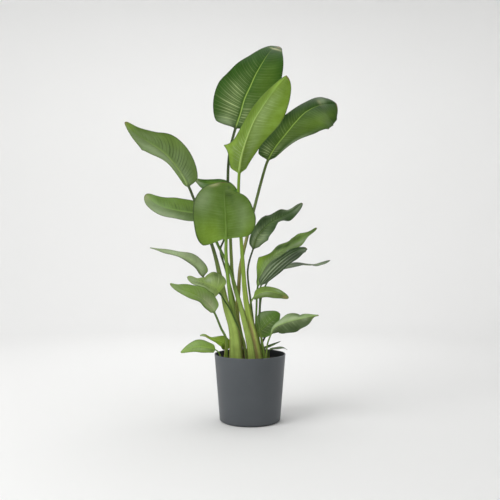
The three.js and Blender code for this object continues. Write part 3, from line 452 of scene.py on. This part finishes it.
def smooth(low, high, x):
    t = np.clip((x - low) / (high - low), 0, 1)
    return t * t * (3 - 2 * t)


def bell(x, middle, wide):
    """1 at the middle, falling off softly on both sides."""
    return np.exp(-(((x - middle) / wide) ** 2))


def either(right, pair):
    """The left or the right one of a pair, or the single value that both sides share."""
    left_one, right_one = pair if np.ndim(pair) else (pair, pair)
    return np.where(right, right_one, left_one)


def both_sides(upper, under):
    """Rows that go over the upper side from left to right, and back under it."""
    return np.concatenate([upper, under[:, ::-1]], axis=1)


def curve(knots, points):
    """A smooth curve through points, each given at its own knot: its value and its direction."""
    knots = np.array(knots, float)
    points = np.array(points, float)
    last = len(knots) - 1
    index = np.arange(last + 1)
    before = np.maximum(index - 1, 0)
    after = np.minimum(index + 1, last)
    tangents = (points[after] - points[before]) / (knots[after] - knots[before])[:, None]

    def at(x):
        x = np.asarray(x, float)
        i = np.clip(np.searchsorted(knots, x) - 1, 0, last - 1)
        h = (knots[i + 1] - knots[i])[..., None]
        s = (x - knots[i])[..., None] / h
        s2 = s * s
        s3 = s2 * s
        ends = points[i] * (2 * s3 - 3 * s2 + 1) + points[i + 1] * (3 * s2 - 2 * s3)
        return ends + tangents[i] * h * (s3 - 2 * s2 + s) + tangents[i + 1] * h * (s3 - s2)

    def slope(x):
        step = (knots[-1] - knots[0]) * 1e-3
        return unit(at(np.minimum(knots[-1], x + step)) - at(np.maximum(knots[0], x - step)))

    return at, slope


def over_blade(values):
    """A smooth curve along the blade, through a value at each width station."""
    angles = np.arccos(1 - 2 * np.array(WIDTH_STATIONS))
    by_angle = curve(angles, np.array(values, float)[:, None])[0]

    def at(t):
        return by_angle(np.arccos(1 - 2 * np.clip(t, 0, 1)))[..., 0]

    return at


class LeafLines:
    """A leaf's centre line, the way its upper side looks along it, its half widths and how far they rise."""

    def __init__(self, leaf):
        self.leaf = leaf
        points = np.array([[*leaf["soil"], SOIL_TOP + SOIL_RISE], *leaf["stalk"], *leaf["rib"]], float)
        gaps = np.linalg.norm(np.diff(points, axis=0), axis=1)
        knots = np.concatenate([[0], np.cumsum(gaps)])
        self.blade_at = knots[len(leaf["stalk"])]
        self.length = knots[-1] - self.blade_at
        self.line, self.slope = curve(knots, points)
        middle = self.blade_at + self.length / 2
        self.facing = curve([0, self.blade_at, middle, knots[-1]], leaf["up"])[0]
        self.halves = [over_blade([leaf["stem"], *leaf[side], TIP_HALF_WIDTH]) for side in ("left", "right")]
        self.lifts = [over_blade([0, *side, 0]) for side in leaf.get("lift", NO_LIFT)]

    def frame(self, x):
        along = self.slope(x)
        raw = self.facing(x)
        up = unit(raw - along * np.sum(raw * along, axis=-1, keepdims=True))
        return self.line(x), along, up, np.cross(along, up)

    def width(self, right, t):
        w = np.maximum(TIP_HALF_WIDTH, either(right, [half(t) for half in self.halves]))
        for side, place, size, length in self.leaf.get("points", []):
            w = w + size * np.exp(-np.abs(t - place) / length) * (right == bool(side))
        return w

    def lift(self, right, t):
        return either(right, [lift(t) for lift in self.lifts])


def blade_middle(lines, t, u):
    """The blade's middle layer at t along it and u across it. u goes from -1 at the left edge to 1."""
    leaf = lines.leaf
    right = u >= 0
    share = np.abs(u)
    origin, along, up, side = lines.frame(lines.blade_at + lines.length * t)
    w = lines.width(right, t) * share
    fold = np.radians(either(right, leaf["fold"]))
    size, count, phase = leaf["wave"]
    swell = np.clip(np.sin(np.pi * np.clip(t, 0, 1)), 0, 1) ** WAVE_EASE
    ripple = size * share**2 * swell * np.sin(2 * np.pi * count * t + phase + right * RIGHT_WAVE_PHASE)
    curl = either(right, leaf.get("curl", CURL)) * w * share
    rise = w * np.sin(fold) - curl + ripple + lines.lift(right, t) * share**2
    back = -either(right, leaf["lobe"]) * share**2 * (t / LOBE_AT) * np.exp(1 - t / LOBE_AT)
    out = np.sign(u) * w * np.cos(fold)
    return origin + side * out[..., None] + up * rise[..., None] + along * back[..., None], up


def oval(frame_at, wide, deep, channel, columns):
    """Rings round the stalk, over its channelled upper side and back under it."""
    origin, _, up, side = frame_at
    wide, deep, channel = (np.asarray(v, float)[:, None] for v in (wide, deep, channel))
    angle = np.pi * (1 - np.linspace(0, 1, columns))
    out = wide / 2 * np.cos(angle)
    high = np.sin(angle)
    top = deep / 2 * (high * (1 - channel) - CHANNEL_DIP * channel * high**4)
    x = both_sides(out, out)
    z = both_sides(top, -deep / 2 * high)
    return origin[:, None] + side[:, None] * x[..., None] + up[:, None] * z[..., None]


def blade_columns(lines, s):
    """Places across the blade from -1 to 1, those across the midrib alone, and which columns lie on it."""
    a = np.concatenate([RIB_COLUMNS, np.ones(len(BLADE_COLUMNS))])
    b = np.concatenate([np.zeros(len(RIB_COLUMNS)), BLADE_COLUMNS])
    rib = lines.leaf["stem"] * RIB_WIDTH * (1 - s) ** RIB_TAPER + RIB_TIP
    sides = []
    for right in (False, True):
        w = lines.width(np.full(s.shape, right), s)
        r = np.minimum(rib, RIB_WIDEST_SHARE * w)
        sides.append((r[:, None] * a + (w - r)[:, None] * b) / w[:, None])
    u = np.concatenate([-sides[0][:, :0:-1], sides[1]], axis=1)
    on_rib = np.concatenate([b[:0:-1], b]) == 0
    return u, np.concatenate([-a[:0:-1], a]) * on_rib, on_rib


def blade_rows(length, draw):
    """Rows along the blade: each one's place counted in veins, and from 0 to 1 with uneven gaps."""
    veins = max(FEWEST_VEINS, round(length / VEIN_PITCH))
    number = np.linspace(0, veins, veins * ROWS_PER_VEIN + 1)
    places = np.concatenate([[0], np.cumsum(draw.uniform(*VEIN_GAPS, veins))])
    uneven = np.interp(number, np.arange(veins + 1), places / places[-1])
    return number, mix(uneven, (1 - np.cos(np.pi * uneven)) / 2, END_CROWDING)


def blade_normals(middle, up):
    normal = np.cross(np.gradient(middle, axis=1), np.gradient(middle, axis=0))
    size = np.linalg.norm(normal, axis=-1, keepdims=True)
    normal = np.where(size > 1e-4, unit(normal), up)
    return np.where(np.sum(normal * up, axis=-1, keepdims=True) > 0.05, normal, up)


def side_veins(number, s, share, on_rib, draw):
    """How high the side veins are, and how far the blade swells between them, from 0 to about 1."""
    nearest = np.round(number).astype(int)
    ridge = draw.uniform(*VEIN_SIZES, nearest[-1] + 1)[nearest] * bell(number, nearest, VEIN_WIDTH)
    fine = bell(number - np.floor(number), 0.5, FINE_VEIN_WIDTH)
    swell = 0.5 - 0.5 * np.cos(2 * np.pi * number) - 0.3 * fine
    fade = np.where(on_rib, 0, 1) * smooth(0, 0.12, share)
    fade = fade * (1 - 0.75 * smooth(0.15, 0.95, share)) * (1 - smooth(0.97, 1, share))
    fade = fade * (smooth(0.01, 0.08, s) * (1 - 0.6 * smooth(0.5, 1, s)))[:, None]
    return (ridge + 0.4 * fine)[:, None] * fade, swell[:, None] * fade


def blade_rings(lines, draw):
    """Rings from the end of the stalk out to the tip, with their paint."""
    leaf = lines.leaf
    number, s = blade_rows(lines.length, draw)
    u, over_rib, on_rib = blade_columns(lines, s)
    share = np.abs(u)
    t = s[:, None] + leaf.get("sweep", VEIN_SWEEP) * share**SWEEP_POWER * (s * (1 - s))[:, None]
    middle, up = blade_middle(lines, t, u)
    normal = blade_normals(middle, up)
    vein, swell = side_veins(number, s, share, on_rib, draw)
    swell = leaf["quilt"] * swell
    rib_depth = (leaf["stem"] * KEEL * (1 - s) ** KEEL_TAPER)[:, None]
    keel = rib_depth * np.where(on_rib, 0.5 + 0.5 * np.cos(np.pi * over_rib), 0)
    groove = GROOVE * rib_depth * np.where(on_rib, (1 - over_rib**2) ** 2, 0)
    half_thick = mix(BLADE_MIDDLE, BLADE_EDGE, share) / 2
    top = middle + normal * (swell + half_thick - groove - VEIN_DIP * vein)[..., None]
    under = middle + normal * (swell - half_thick - keel - VEIN_RIDGE * vein)[..., None]
    size = np.full(s.shape, 2 * leaf["stem"])
    channel = np.full(s.shape, JOIN_CHANNEL)
    stalk_end = oval(lines.frame(lines.blade_at + lines.length * s), size, size, channel, u.shape[1])
    rings = mix(stalk_end, both_sides(top, under), smooth(0, JOIN_LENGTH, s)[:, None, None])
    return rings, blade_paint(lines, s, t, u, over_rib, on_rib, vein)


def layer(base, colour, amount):
    return mix(base, linear(colour), amount[..., None])


def blade_paint(lines, s, t, u, over_rib, on_rib, vein):
    """Colour, grain and finish of the blade. The finish is how rough, how waxy and how brown it is."""
    leaf = lines.leaf
    upper, under, petiole, _ = leaf["tones"]
    share = np.abs(u)
    rib = leaf.get("rib_shows", 1) * np.where(on_rib, bell(over_rib, 0, 0.62), 0)
    rib = rib * (1 - smooth(0.5, 0.97, s))[:, None]
    # Painted light and shade: each half lighter or darker as it faces the light, the blade a little lighter
    # near its middle and a little darker towards the tip.
    light = mix(*leaf.get("halves", (1, 1)), smooth(-0.06, 0.06, u))
    light = light * (1 + 0.1 * smooth(0.6, 0, share) - 0.08 * smooth(0.6, 1, t))
    shows_on = {VEIN_GLINT: vein, FURROW_SHADE: vein, ROW_GLINT: np.clip(np.sin(ROW_TURNS * u), 0, 1)}
    tip = smooth(0.975, 1, t) * smooth(0, 0.3, s)[:, None]
    foot = np.broadcast_to(1 - smooth(0, JOIN_LENGTH, s)[:, None], u.shape)
    faces = []
    for face, rib_colour in ((upper, RIB_UPPER), (under, RIB_UNDER)):
        tone = linear(face) * light[..., None]
        # Lighter veins, partly a painted highlight.
        tone = layer(tone, PALE_VEIN, leaf["pale"] * vein * (1 - 0.7 * smooth(0.45, 0.85, t)))
        # The marks, most of them painted highlights and painted shade.
        for colour, *shares in leaf.get("marks", ()):
            across, along, wide, long, amount = (share / 100 for share in shares)
            soft = amount * bell(u, across, wide) * bell(t, along, long)
            tone = layer(tone, colour, soft * shows_on.get(colour, 1))
        tone = layer(tone, rib_colour, rib)
        # A dark edge, in part painted shade where it curls over.
        tone = layer(tone, MARGIN, 0.8 * smooth(0.93, 1, share))
        tone = layer(tone, DRY_TIP, 0.8 * tip)
        faces.append(layer(tone, petiole, foot))
    along = np.broadcast_to((s * lines.length)[:, None], u.shape)
    grain = np.stack([along, share * lines.width(u >= 0, t), np.sign(u) * HALF_GRAIN], axis=-1)
    rough = BLADE_ROUGH + ROUGH_PER_WAX * leaf["wax"]
    finish = np.array([rough, leaf["wax"], 0]) * np.ones((*u.shape, 1))
    return both_sides(*faces), both_sides(grain, grain), both_sides(finish, finish + UNDERSIDE)


def fibres(draw, count):
    """Uneven lengthwise ridges round a stalk, from -1 to 1."""
    raw = draw.uniform(-1, 1, count)
    return (np.roll(raw, 1) + 2 * raw + np.roll(raw, -1)) / 3


def stalk_rings(lines, draw, columns):
    """Rings from inside the soil up to the blade, with their paint. The sheath stands flat on the soil."""
    leaf = lines.leaf
    count = max(FEWEST_RINGS, round(lines.blade_at / RING_SPACING))
    s = np.linspace(0, 1, count, endpoint=False)
    origin, along, up, side = lines.frame(lines.blade_at * s)
    flat_up = unit(np.array([*leaf["up"][0][:2], 0], float))
    low = (1 - smooth(0, 0.12, s))[:, None]
    up = unit(mix(up, flat_up, low))
    side = unit(mix(side, np.cross([0, 0, 1], flat_up), low))
    taper = (1 - s) ** SHEATH_TAPER
    wide, deep = (mix(leaf["stem"] * 2, size, taper) for size in leaf["sheath"])
    channel = 0.3 + 0.3 * smooth(0.75, 1, s) + 0.15 * taper
    rings = oval((origin, along, up, side), wide, deep, channel, columns)
    start = rings[:1].copy()
    start[..., 2] = STALK_START
    rings = np.concatenate([start, rings])
    s = np.concatenate([[0], s])
    fibre = mix(fibres(draw, 2 * columns), fibres(draw, 2 * columns), s[:, None])
    relief = STALK_RELIEF * fibre * (1 - smooth(0.85, 1, s))[:, None]
    rings = rings + unit(rings - rings.mean(axis=1, keepdims=True)) * relief[..., None]
    return rings, stalk_paint(lines, fibre, s)


def stalk_paint(lines, fibre, s):
    """Colour, grain and finish of the stalk, with papery edges on the sheath and perhaps a dry stripe."""
    leaf = lines.leaf
    _, _, petiole, foot = leaf["tones"]
    ones = np.ones(fibre.shape)
    columns = fibre.shape[1] // 2
    across = np.cos(np.pi * (1 - np.linspace(0, 1, columns))) * ones[:, :columns]
    across = both_sides(across, across)
    edge = np.abs(across)
    height = s[:, None] * ones
    tone = mix(linear(foot), linear(petiole), smooth(0.1, 0.75, height)[..., None])
    tone = layer(tone, PAPERY, 0.5 * smooth(0.8, 0.97, edge) * (1 - smooth(0.15, 0.6, height)))
    place, wide, low, high, amount = leaf.get("stripe", NO_STRIPE)
    stripe = bell(across, place, wide) * smooth(low - 0.05, low, height)
    tone = layer(tone, STRIPE, amount * stripe * (1 - smooth(high, high + 0.08, height)))
    # Painted light and shade: the fibres in lighter and darker streaks, partly painted highlight on their
    # ridges, the middle of the upper side a little darker and both edges darker.
    on_top = np.arange(2 * columns) < columns
    shade = 1 + 0.24 * fibre - 0.12 * on_top * smooth(0.2, 0.9, 1 - edge)
    shade = shade * (1.08 - 0.3 * smooth(0.55, 1, edge))
    girth = 1.1 * sum(leaf["sheath"])
    turn = np.linspace(0, 1, 2 * columns) * girth * ones
    grain = np.stack([turn, height * lines.blade_at, STALK_GRAIN * ones], axis=-1)
    dry = leaf.get("brown", BROWN) * (1 - smooth(0.2, 0.7, height))
    finish = np.stack([STALK_ROUGH * ones, STALK_WAX * ones, dry], axis=-1)
    return tone * shade[..., None], grain, finish


def ring_quads(rings, sides, first=0):
    """Quads between a ring of points and the next, for a stack of rings."""
    start = (first + np.arange(rings - 1) * sides)[:, None]
    j = np.arange(sides)
    k = (j + 1) % sides
    return np.stack([start + j, start + k, start + sides + k, start + sides + j], axis=-1).reshape(-1, 4)


def tube_faces(rings, points):
    """Quads round a stack of rings, and the first and last rings closed."""
    a = np.arange(points // 2 - 1)
    foot = np.stack([a, points - 1 - a, points - 2 - a, a + 1], axis=-1)
    tip = foot[:, ::-1] + (rings - 1) * points
    return np.concatenate([ring_quads(rings, points), foot, tip]).tolist()


def make_object(name, data):
    made = bpy.data.objects.new(name, data)
    bpy.context.scene.collection.objects.link(made)
    return made


def make_mesh(name, points, faces, material):
    mesh = bpy.data.meshes.new(name)
    mesh.from_pydata((points * MM).tolist(), [], faces)
    mesh.polygons.foreach_set("use_smooth", np.ones(len(mesh.polygons), bool))
    mesh.materials.append(material)
    return mesh


def make_piece(name, node, slot, points, faces, material, tone, **vectors):
    """A mesh that stands for a node, with a colour and perhaps some vectors at each point."""
    mesh = make_mesh(name, points, faces, material)
    colours = np.concatenate([tone, np.ones((len(points), 1))], axis=1)
    colour = mesh.attributes.new("tone", "FLOAT_COLOR", "POINT")
    colour.data.foreach_set("color", colours.astype(np.float32).ravel())
    for key, values in vectors.items():
        vector = mesh.attributes.new(key, "FLOAT_VECTOR", "POINT")
        vector.data.foreach_set("vector", values.astype(np.float32).ravel())
    mesh.validate()
    mesh.update()
    piece = make_object(name, mesh)
    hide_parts(node)
    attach(piece, "root")


def make_leaf(name, seed, material):
    lines = LeafLines(LEAVES[name])
    draw = np.random.default_rng(seed)
    blade, blade_looks = blade_rings(lines, draw)
    stalk, stalk_looks = stalk_rings(lines, draw, blade.shape[1] // 2)
    rings = np.concatenate([stalk, blade])
    points = rings.reshape(-1, 3)
    tone, grain, finish = (np.concatenate(pair).reshape(-1, 3) for pair in zip(stalk_looks, blade_looks))
    grain[:, 2] += seed * LEAF_GRAIN
    faces = tube_faces(*rings.shape[:2])
    make_piece(name + "_fine", name, "leaf", points, faces, material, tone, grain=grain, finish=finish)


class Skin:
    """A new material, with short calls for the nodes that feed its shader."""

    def __init__(self, name):
        self.material = bpy.data.materials.new(name)
        self.material.use_nodes = True
        self.nodes = self.material.node_tree.nodes
        self.shader = self.nodes["Principled BSDF"]

    def feed(self, node, values):
        """Links or sets each input of a node."""
        for key, value in values.items():
            if isinstance(value, bpy.types.NodeSocket):
                self.material.node_tree.links.new(value, node.inputs[key])
            else:
                node.inputs[key].default_value = value

    def node(self, kind, values, output=0, **settings):
        """Adds a node and gives back one of its outputs."""
        node = self.nodes.new(kind)
        for key, value in settings.items():
            setattr(node, key, value)
        self.feed(node, values)
        return node.outputs[output]

    def attribute(self, name, output):
        return self.node("ShaderNodeAttribute", {}, output, attribute_name=name)

    def noise(self, vector, scale, detail):
        values = {"Vector": vector, "Scale": scale, "Detail": detail, "Roughness": 0.55}
        return self.node("ShaderNodeTexNoise", values, "Fac")

    def stretched(self, vector, scale, detail):
        scaled = self.node("ShaderNodeVectorMath", {0: vector, 1: scale}, operation="MULTIPLY")
        return self.noise(scaled, 1, detail)

    def ranged(self, source, low, high, to_low, to_high):
        ends = {"Value": source, "From Min": low, "From Max": high, "To Min": to_low, "To Max": to_high}
        return self.node("ShaderNodeMapRange", ends)

    def maths(self, operation, first, second):
        return self.node("ShaderNodeMath", {0: first, 1: second}, operation=operation)

    def blended(self, factor, first, second, kind="MIX"):
        values = {0: factor, 6: first, 7: second}
        return self.node("ShaderNodeMix", values, 2, data_type="RGBA", blend_type=kind)

    def lit(self, *noises):
        """The tone at each point times two noises, each with its range and its darkest and lightest."""
        light = self.maths("MULTIPLY", *(self.ranged(*noise) for noise in noises))
        grey = self.node("ShaderNodeCombineColor", {0: light, 1: light, 2: light})
        return self.blended(1.0, self.attribute("tone", "Color"), grey, "MULTIPLY")

    def bump(self, height, strength, distance):
        return self.node("ShaderNodeBump", {"Height": height, "Strength": strength, "Distance": distance})


def leaf_material():
    skin = Skin("leaf_skin")
    grain = skin.attribute("grain", "Vector")
    finish = skin.node("ShaderNodeSeparateXYZ", {0: skin.attribute("finish", "Vector")})
    rough, wax, brown = finish.node.outputs
    streaks = skin.stretched(grain, (1.1, 0.035, 1), 4)
    mottle = skin.stretched(grain, (0.03, 0.03, 1), 3)
    colour = skin.lit((streaks, 0.25, 0.75, 0.86, 1.12), (mottle, 0.25, 0.75, 0.86, 1.14))
    bloom = skin.maths("MULTIPLY", wax, skin.ranged(mottle, 0.4, 0.7, 0.04, 0.2))
    colour = skin.blended(bloom, colour, (*linear(BLOOM), 1))
    dry_noise = skin.stretched(grain, (0.35, 0.012, 1), 4)
    dry = skin.maths("MULTIPLY", brown, skin.ranged(dry_noise, 0.42, 0.62, 0, 1))
    skin.feed(skin.shader, {
        "Base Color": skin.blended(dry, colour, (*linear(DRY_STREAK), 1)),
        "Roughness": skin.maths("ADD", rough, skin.ranged(mottle, 0.3, 0.7, -0.05, 0.06)),
        "Specular IOR Level": 0.14,
        "Normal": skin.bump(streaks, 0.5, 0.12 * MM),
    })
    return skin.material


def pot_material():
    skin = Skin("pot_plastic")
    place = skin.node("ShaderNodeTexCoord", {}, "Object")
    speck = skin.noise(place, 900, 2)
    cloud = skin.noise(place, 9, 3)
    skin.feed(skin.shader, {
        "Base Color": skin.lit((speck, 0.3, 0.7, 0.93, 1.07), (cloud, 0.3, 0.7, 0.93, 1.07)),
        "Roughness": skin.ranged(cloud, 0.3, 0.7, 0.42, 0.5),
        "Specular IOR Level": 0.4,
        "Normal": skin.bump(speck, 0.35, 0.08 * MM),
    })
    return skin.material


def soil_material():
    skin = Skin("soil_crumb")
    place = skin.node("ShaderNodeTexCoord", {}, "Object")
    fine = skin.noise(place, 700, 4)
    broad = skin.noise(place, 90, 3)
    skin.feed(skin.shader, {
        "Base Color": skin.lit((fine, 0.25, 0.75, 0.6, 1.4), (broad, 0.3, 0.7, 0.75, 1.2)),
        "Roughness": 0.92,
        "Normal": skin.bump(fine, 0.8, 0.5 * MM),
    })
    return skin.material


def turned(profile, sides):
    """Points and faces of a shape turned round Z from (radius, height) pairs whose ends lie on the axis."""
    angle = np.linspace(0, 2 * np.pi, sides, endpoint=False)
    body = np.array(profile[1:-1], float)
    radius, height = body[:, :1], body[:, 1:]
    rings = np.stack([radius * np.cos(angle), radius * np.sin(angle), height * np.ones(sides)], axis=-1)
    ends = [[0, 0, profile[0][1]], [0, 0, profile[-1][1]]]
    points = np.concatenate([rings.reshape(-1, 3), ends])
    first, last = len(points) - 2, len(points) - 1
    top = (len(body) - 1) * sides
    pairs = [(a, (a + 1) % sides) for a in range(sides)]
    fans = [[first, b, a] for a, b in pairs] + [[last, top + a, top + b] for a, b in pairs]
    return points, ring_quads(len(body), sides).tolist() + fans


def arc(centre, radius, start, stop, steps):
    angles = np.radians(np.linspace(start, stop, steps))
    return [[centre[0] + radius * math.cos(a), centre[1] + radius * math.sin(a)] for a in angles]


def pot_radius(height):
    return mix(POT_BOTTOM_RADIUS, POT_TOP_RADIUS, height / POT_HEIGHT)


def pot_profile():
    """From the middle of the underside up the outside, over the rim and down the inside to the floor."""
    outside = np.linspace(OUTSIDE_FROM, OUTSIDE_TO, OUTSIDE_STEPS)
    outer, inner = RIM_OUTER_ROUND, RIM_INNER_ROUND
    floor_radius = pot_radius(POT_FLOOR) - POT_WALL
    return [
        [0, 0],
        *[[FOOT_RADIUS + out, z] for out, z in FOOT_STEPS],
        *arc([FOOT_RADIUS, FOOT_STEPS[-1][1] + FOOT_ROUND], FOOT_ROUND, -75, 0, 6),
        *[[pot_radius(z), z] for z in outside],
        *arc([POT_TOP_RADIUS - outer, POT_HEIGHT - outer], outer, 0, 90, 6),
        *arc([POT_TOP_RADIUS - POT_WALL + inner, POT_HEIGHT - inner], inner, 90, 180, 6),
        *[[pot_radius(z) - POT_WALL, z] for z in outside[::-1]],
        [floor_radius - 1, POT_FLOOR + 0.2],
        [floor_radius - 2, POT_FLOOR],
        [0, POT_FLOOR],
    ]


def make_pot(material):
    points, faces = turned(pot_profile(), POT_SIDES)
    height = points[:, 2]
    depth = np.hypot(points[:, 0], points[:, 1]) - pot_radius(height)
    # Painted light and shade: the inside of the pot darker, the rim lighter as a highlight and the foot
    # darker.
    inside = smooth(-1.2, -2, depth) * smooth(POT_FLOOR, POT_HEIGHT - 3, height)
    rim = smooth(POT_HEIGHT - 2.5, POT_HEIGHT - 0.5, height)
    foot = 1 - smooth(2, 7, height)
    tone = mix(linear(POT_COLOUR), linear(POT_INSIDE_SHADE), inside[:, None])
    tone = tone * (1 + 0.25 * rim - 0.3 * foot)[:, None]
    make_piece("pot_shell", "pot", "pot", points, faces, material, tone)


def icosphere():
    mesh = bpy.data.meshes.new("crumb")
    shape = bmesh.new()
    bmesh.ops.create_icosphere(shape, subdivisions=2, radius=1)
    shape.to_mesh(mesh)
    shape.free()
    points = np.array([v.co for v in mesh.vertices])
    faces = np.array([p.vertices for p in mesh.polygons])
    bpy.data.meshes.remove(mesh)
    return points, faces


def hills(x, y, draw):
    """Soft bumps from crossed sine waves."""
    total = np.zeros(np.shape(x))
    for length, height in SOIL_HILLS:
        for _ in range(WAVES_PER_HILL):
            angle, phase = draw.uniform(0, 2 * np.pi, 2)
            turns = (x * np.cos(angle) + y * np.sin(angle)) / length
            total += height / WAVES_PER_HILL * np.sin(turns * 2 * np.pi + phase)
    return total


def soil_surface(radius, draw):
    """The uneven top, with a point in its middle, the straight edge and the plain underside."""
    r = np.linspace(1 / SOIL_RINGS, 1, SOIL_RINGS)[:, None] * radius
    angle = np.linspace(0, 2 * np.pi, SOIL_SIDES, endpoint=False)
    x, y = r * np.cos(angle), r * np.sin(angle)
    level = SOIL_TOP + hills(x, y, draw)
    top = np.stack([x, y, level], axis=-1).reshape(-1, 3)
    edge = np.stack([x[-1], y[-1], np.full(SOIL_SIDES, SOIL_TOP - SOIL_EDGE)], axis=-1)
    points = np.concatenate([[[0, 0, level[0].mean()]], top, edge])
    ring = 1 + np.arange(SOIL_SIDES)
    middle = np.stack([ring * 0, ring, np.roll(ring, -1)], axis=-1)
    quads = np.roll(ring_quads(SOIL_RINGS + 1, SOIL_SIDES, 1)[:, ::-1], 1, axis=1)
    under = (SOIL_RINGS * SOIL_SIDES + ring)[::-1]
    return points, [*quads.tolist(), *middle.tolist(), under.tolist()]


def crumb(ball, draw):
    """The ball squashed, dented and turned."""
    size = draw.uniform(*CRUMB_SIZE) * np.array([1, draw.uniform(0.5, 1), draw.uniform(0.35, 0.8)])
    lump = ball * (1 + CRUMB_DENTS * draw.uniform(-1, 1, (len(ball), 1))) * size
    turn = draw.uniform(0, 2 * np.pi)
    c, s = math.cos(turn), math.sin(turn)
    return lump @ np.array([[c, s, 0], [-s, c, 0], [0, 0, 1]])


def make_soil(material):
    draw = np.random.default_rng(SOIL_SEED)
    radius = pot_radius(SOIL_TOP) - POT_WALL - SOIL_GAP
    points, faces = soil_surface(radius, draw)
    clouds = [points]
    tones = [linear(SOIL_COLOUR) * np.ones(points.shape)]
    ball, ball_faces = icosphere()
    out = np.sqrt(draw.uniform(0, 1, CRUMBS)) * (radius - CRUMB_MARGIN)
    angle = draw.uniform(0, 2 * np.pi, CRUMBS)
    for i, (x, y) in enumerate(zip(out * np.cos(angle), out * np.sin(angle))):
        clouds.append(crumb(ball, draw) + [x, y, SOIL_TOP + CRUMB_LIFT])
        tones.append(linear(CRUMB_COLOURS[draw.integers(len(CRUMB_COLOURS))]) * np.ones(ball.shape))
        faces += (ball_faces + len(points) + i * len(ball)).tolist()
    make_piece("soil_mix", "soil", "soil", np.concatenate(clouds), faces, material, np.concatenate(tones))


def make_stage():
    """A wide round floor that curves up into a pale wall on all sides, with no roof."""
    curved = arc([FLOOR_RADIUS, SWEEP_RADIUS], SWEEP_RADIUS, -90, 0, SWEEP_STEPS)[1:]
    profile = [[0, 0], [FLOOR_RADIUS, 0], *curved, [FLOOR_RADIUS + SWEEP_RADIUS, WALL_TOP], [0, WALL_TOP]]
    points, faces = turned([[r, z - FLOOR_DROP] for r, z in profile], STAGE_SIDES)
    roof = len(points) - 1
    skin = Skin("studio_paper")
    skin.feed(skin.shader, {"Base Color": PAPER_WHITE, "Roughness": 0.9, "Specular IOR Level": 0.1})
    mesh = make_mesh("studio_sweep", points, [face for face in faces if roof not in face], skin.material)
    mesh.flip_normals()
    make_object("studio_sweep", mesh)


def make_lights():
    for name, place, target, size, power in LIGHTS:
        data = bpy.data.lights.new(name, "AREA")
        data.shape = "DISK"
        data.size = size
        data.energy = power
        light = make_object(name, data)
        light.location = place
        light.rotation_euler = (Vector(target) - Vector(place)).to_track_quat("-Z", "Y").to_euler()
        light.visible_camera = False
    world = bpy.data.worlds.new("studio_air")
    world.use_nodes = True
    air = world.node_tree.nodes["Background"]
    air.inputs["Color"].default_value = (1, 1, 1, 1)
    air.inputs["Strength"].default_value = AIR_LIGHT
    bpy.context.scene.world = world


def make_camera():
    data = bpy.data.cameras.new("photo_camera")
    data.lens = CAMERA_LENS
    data.sensor_width = CAMERA_SENSOR
    camera = make_object("photo_camera", data)
    camera.location = CAMERA_PLACE
    camera.rotation_euler = (math.radians(90), 0, 0)
    bpy.context.scene.camera = camera


make_camera()
leaf_skin = leaf_material()
for seed, leaf_name in enumerate(LEAVES):
    make_leaf(leaf_name, seed, leaf_skin)
make_pot(pot_material())
make_soil(soil_material())
make_stage()
make_lights()
bpy.context.scene.view_settings.view_transform = "Standard"
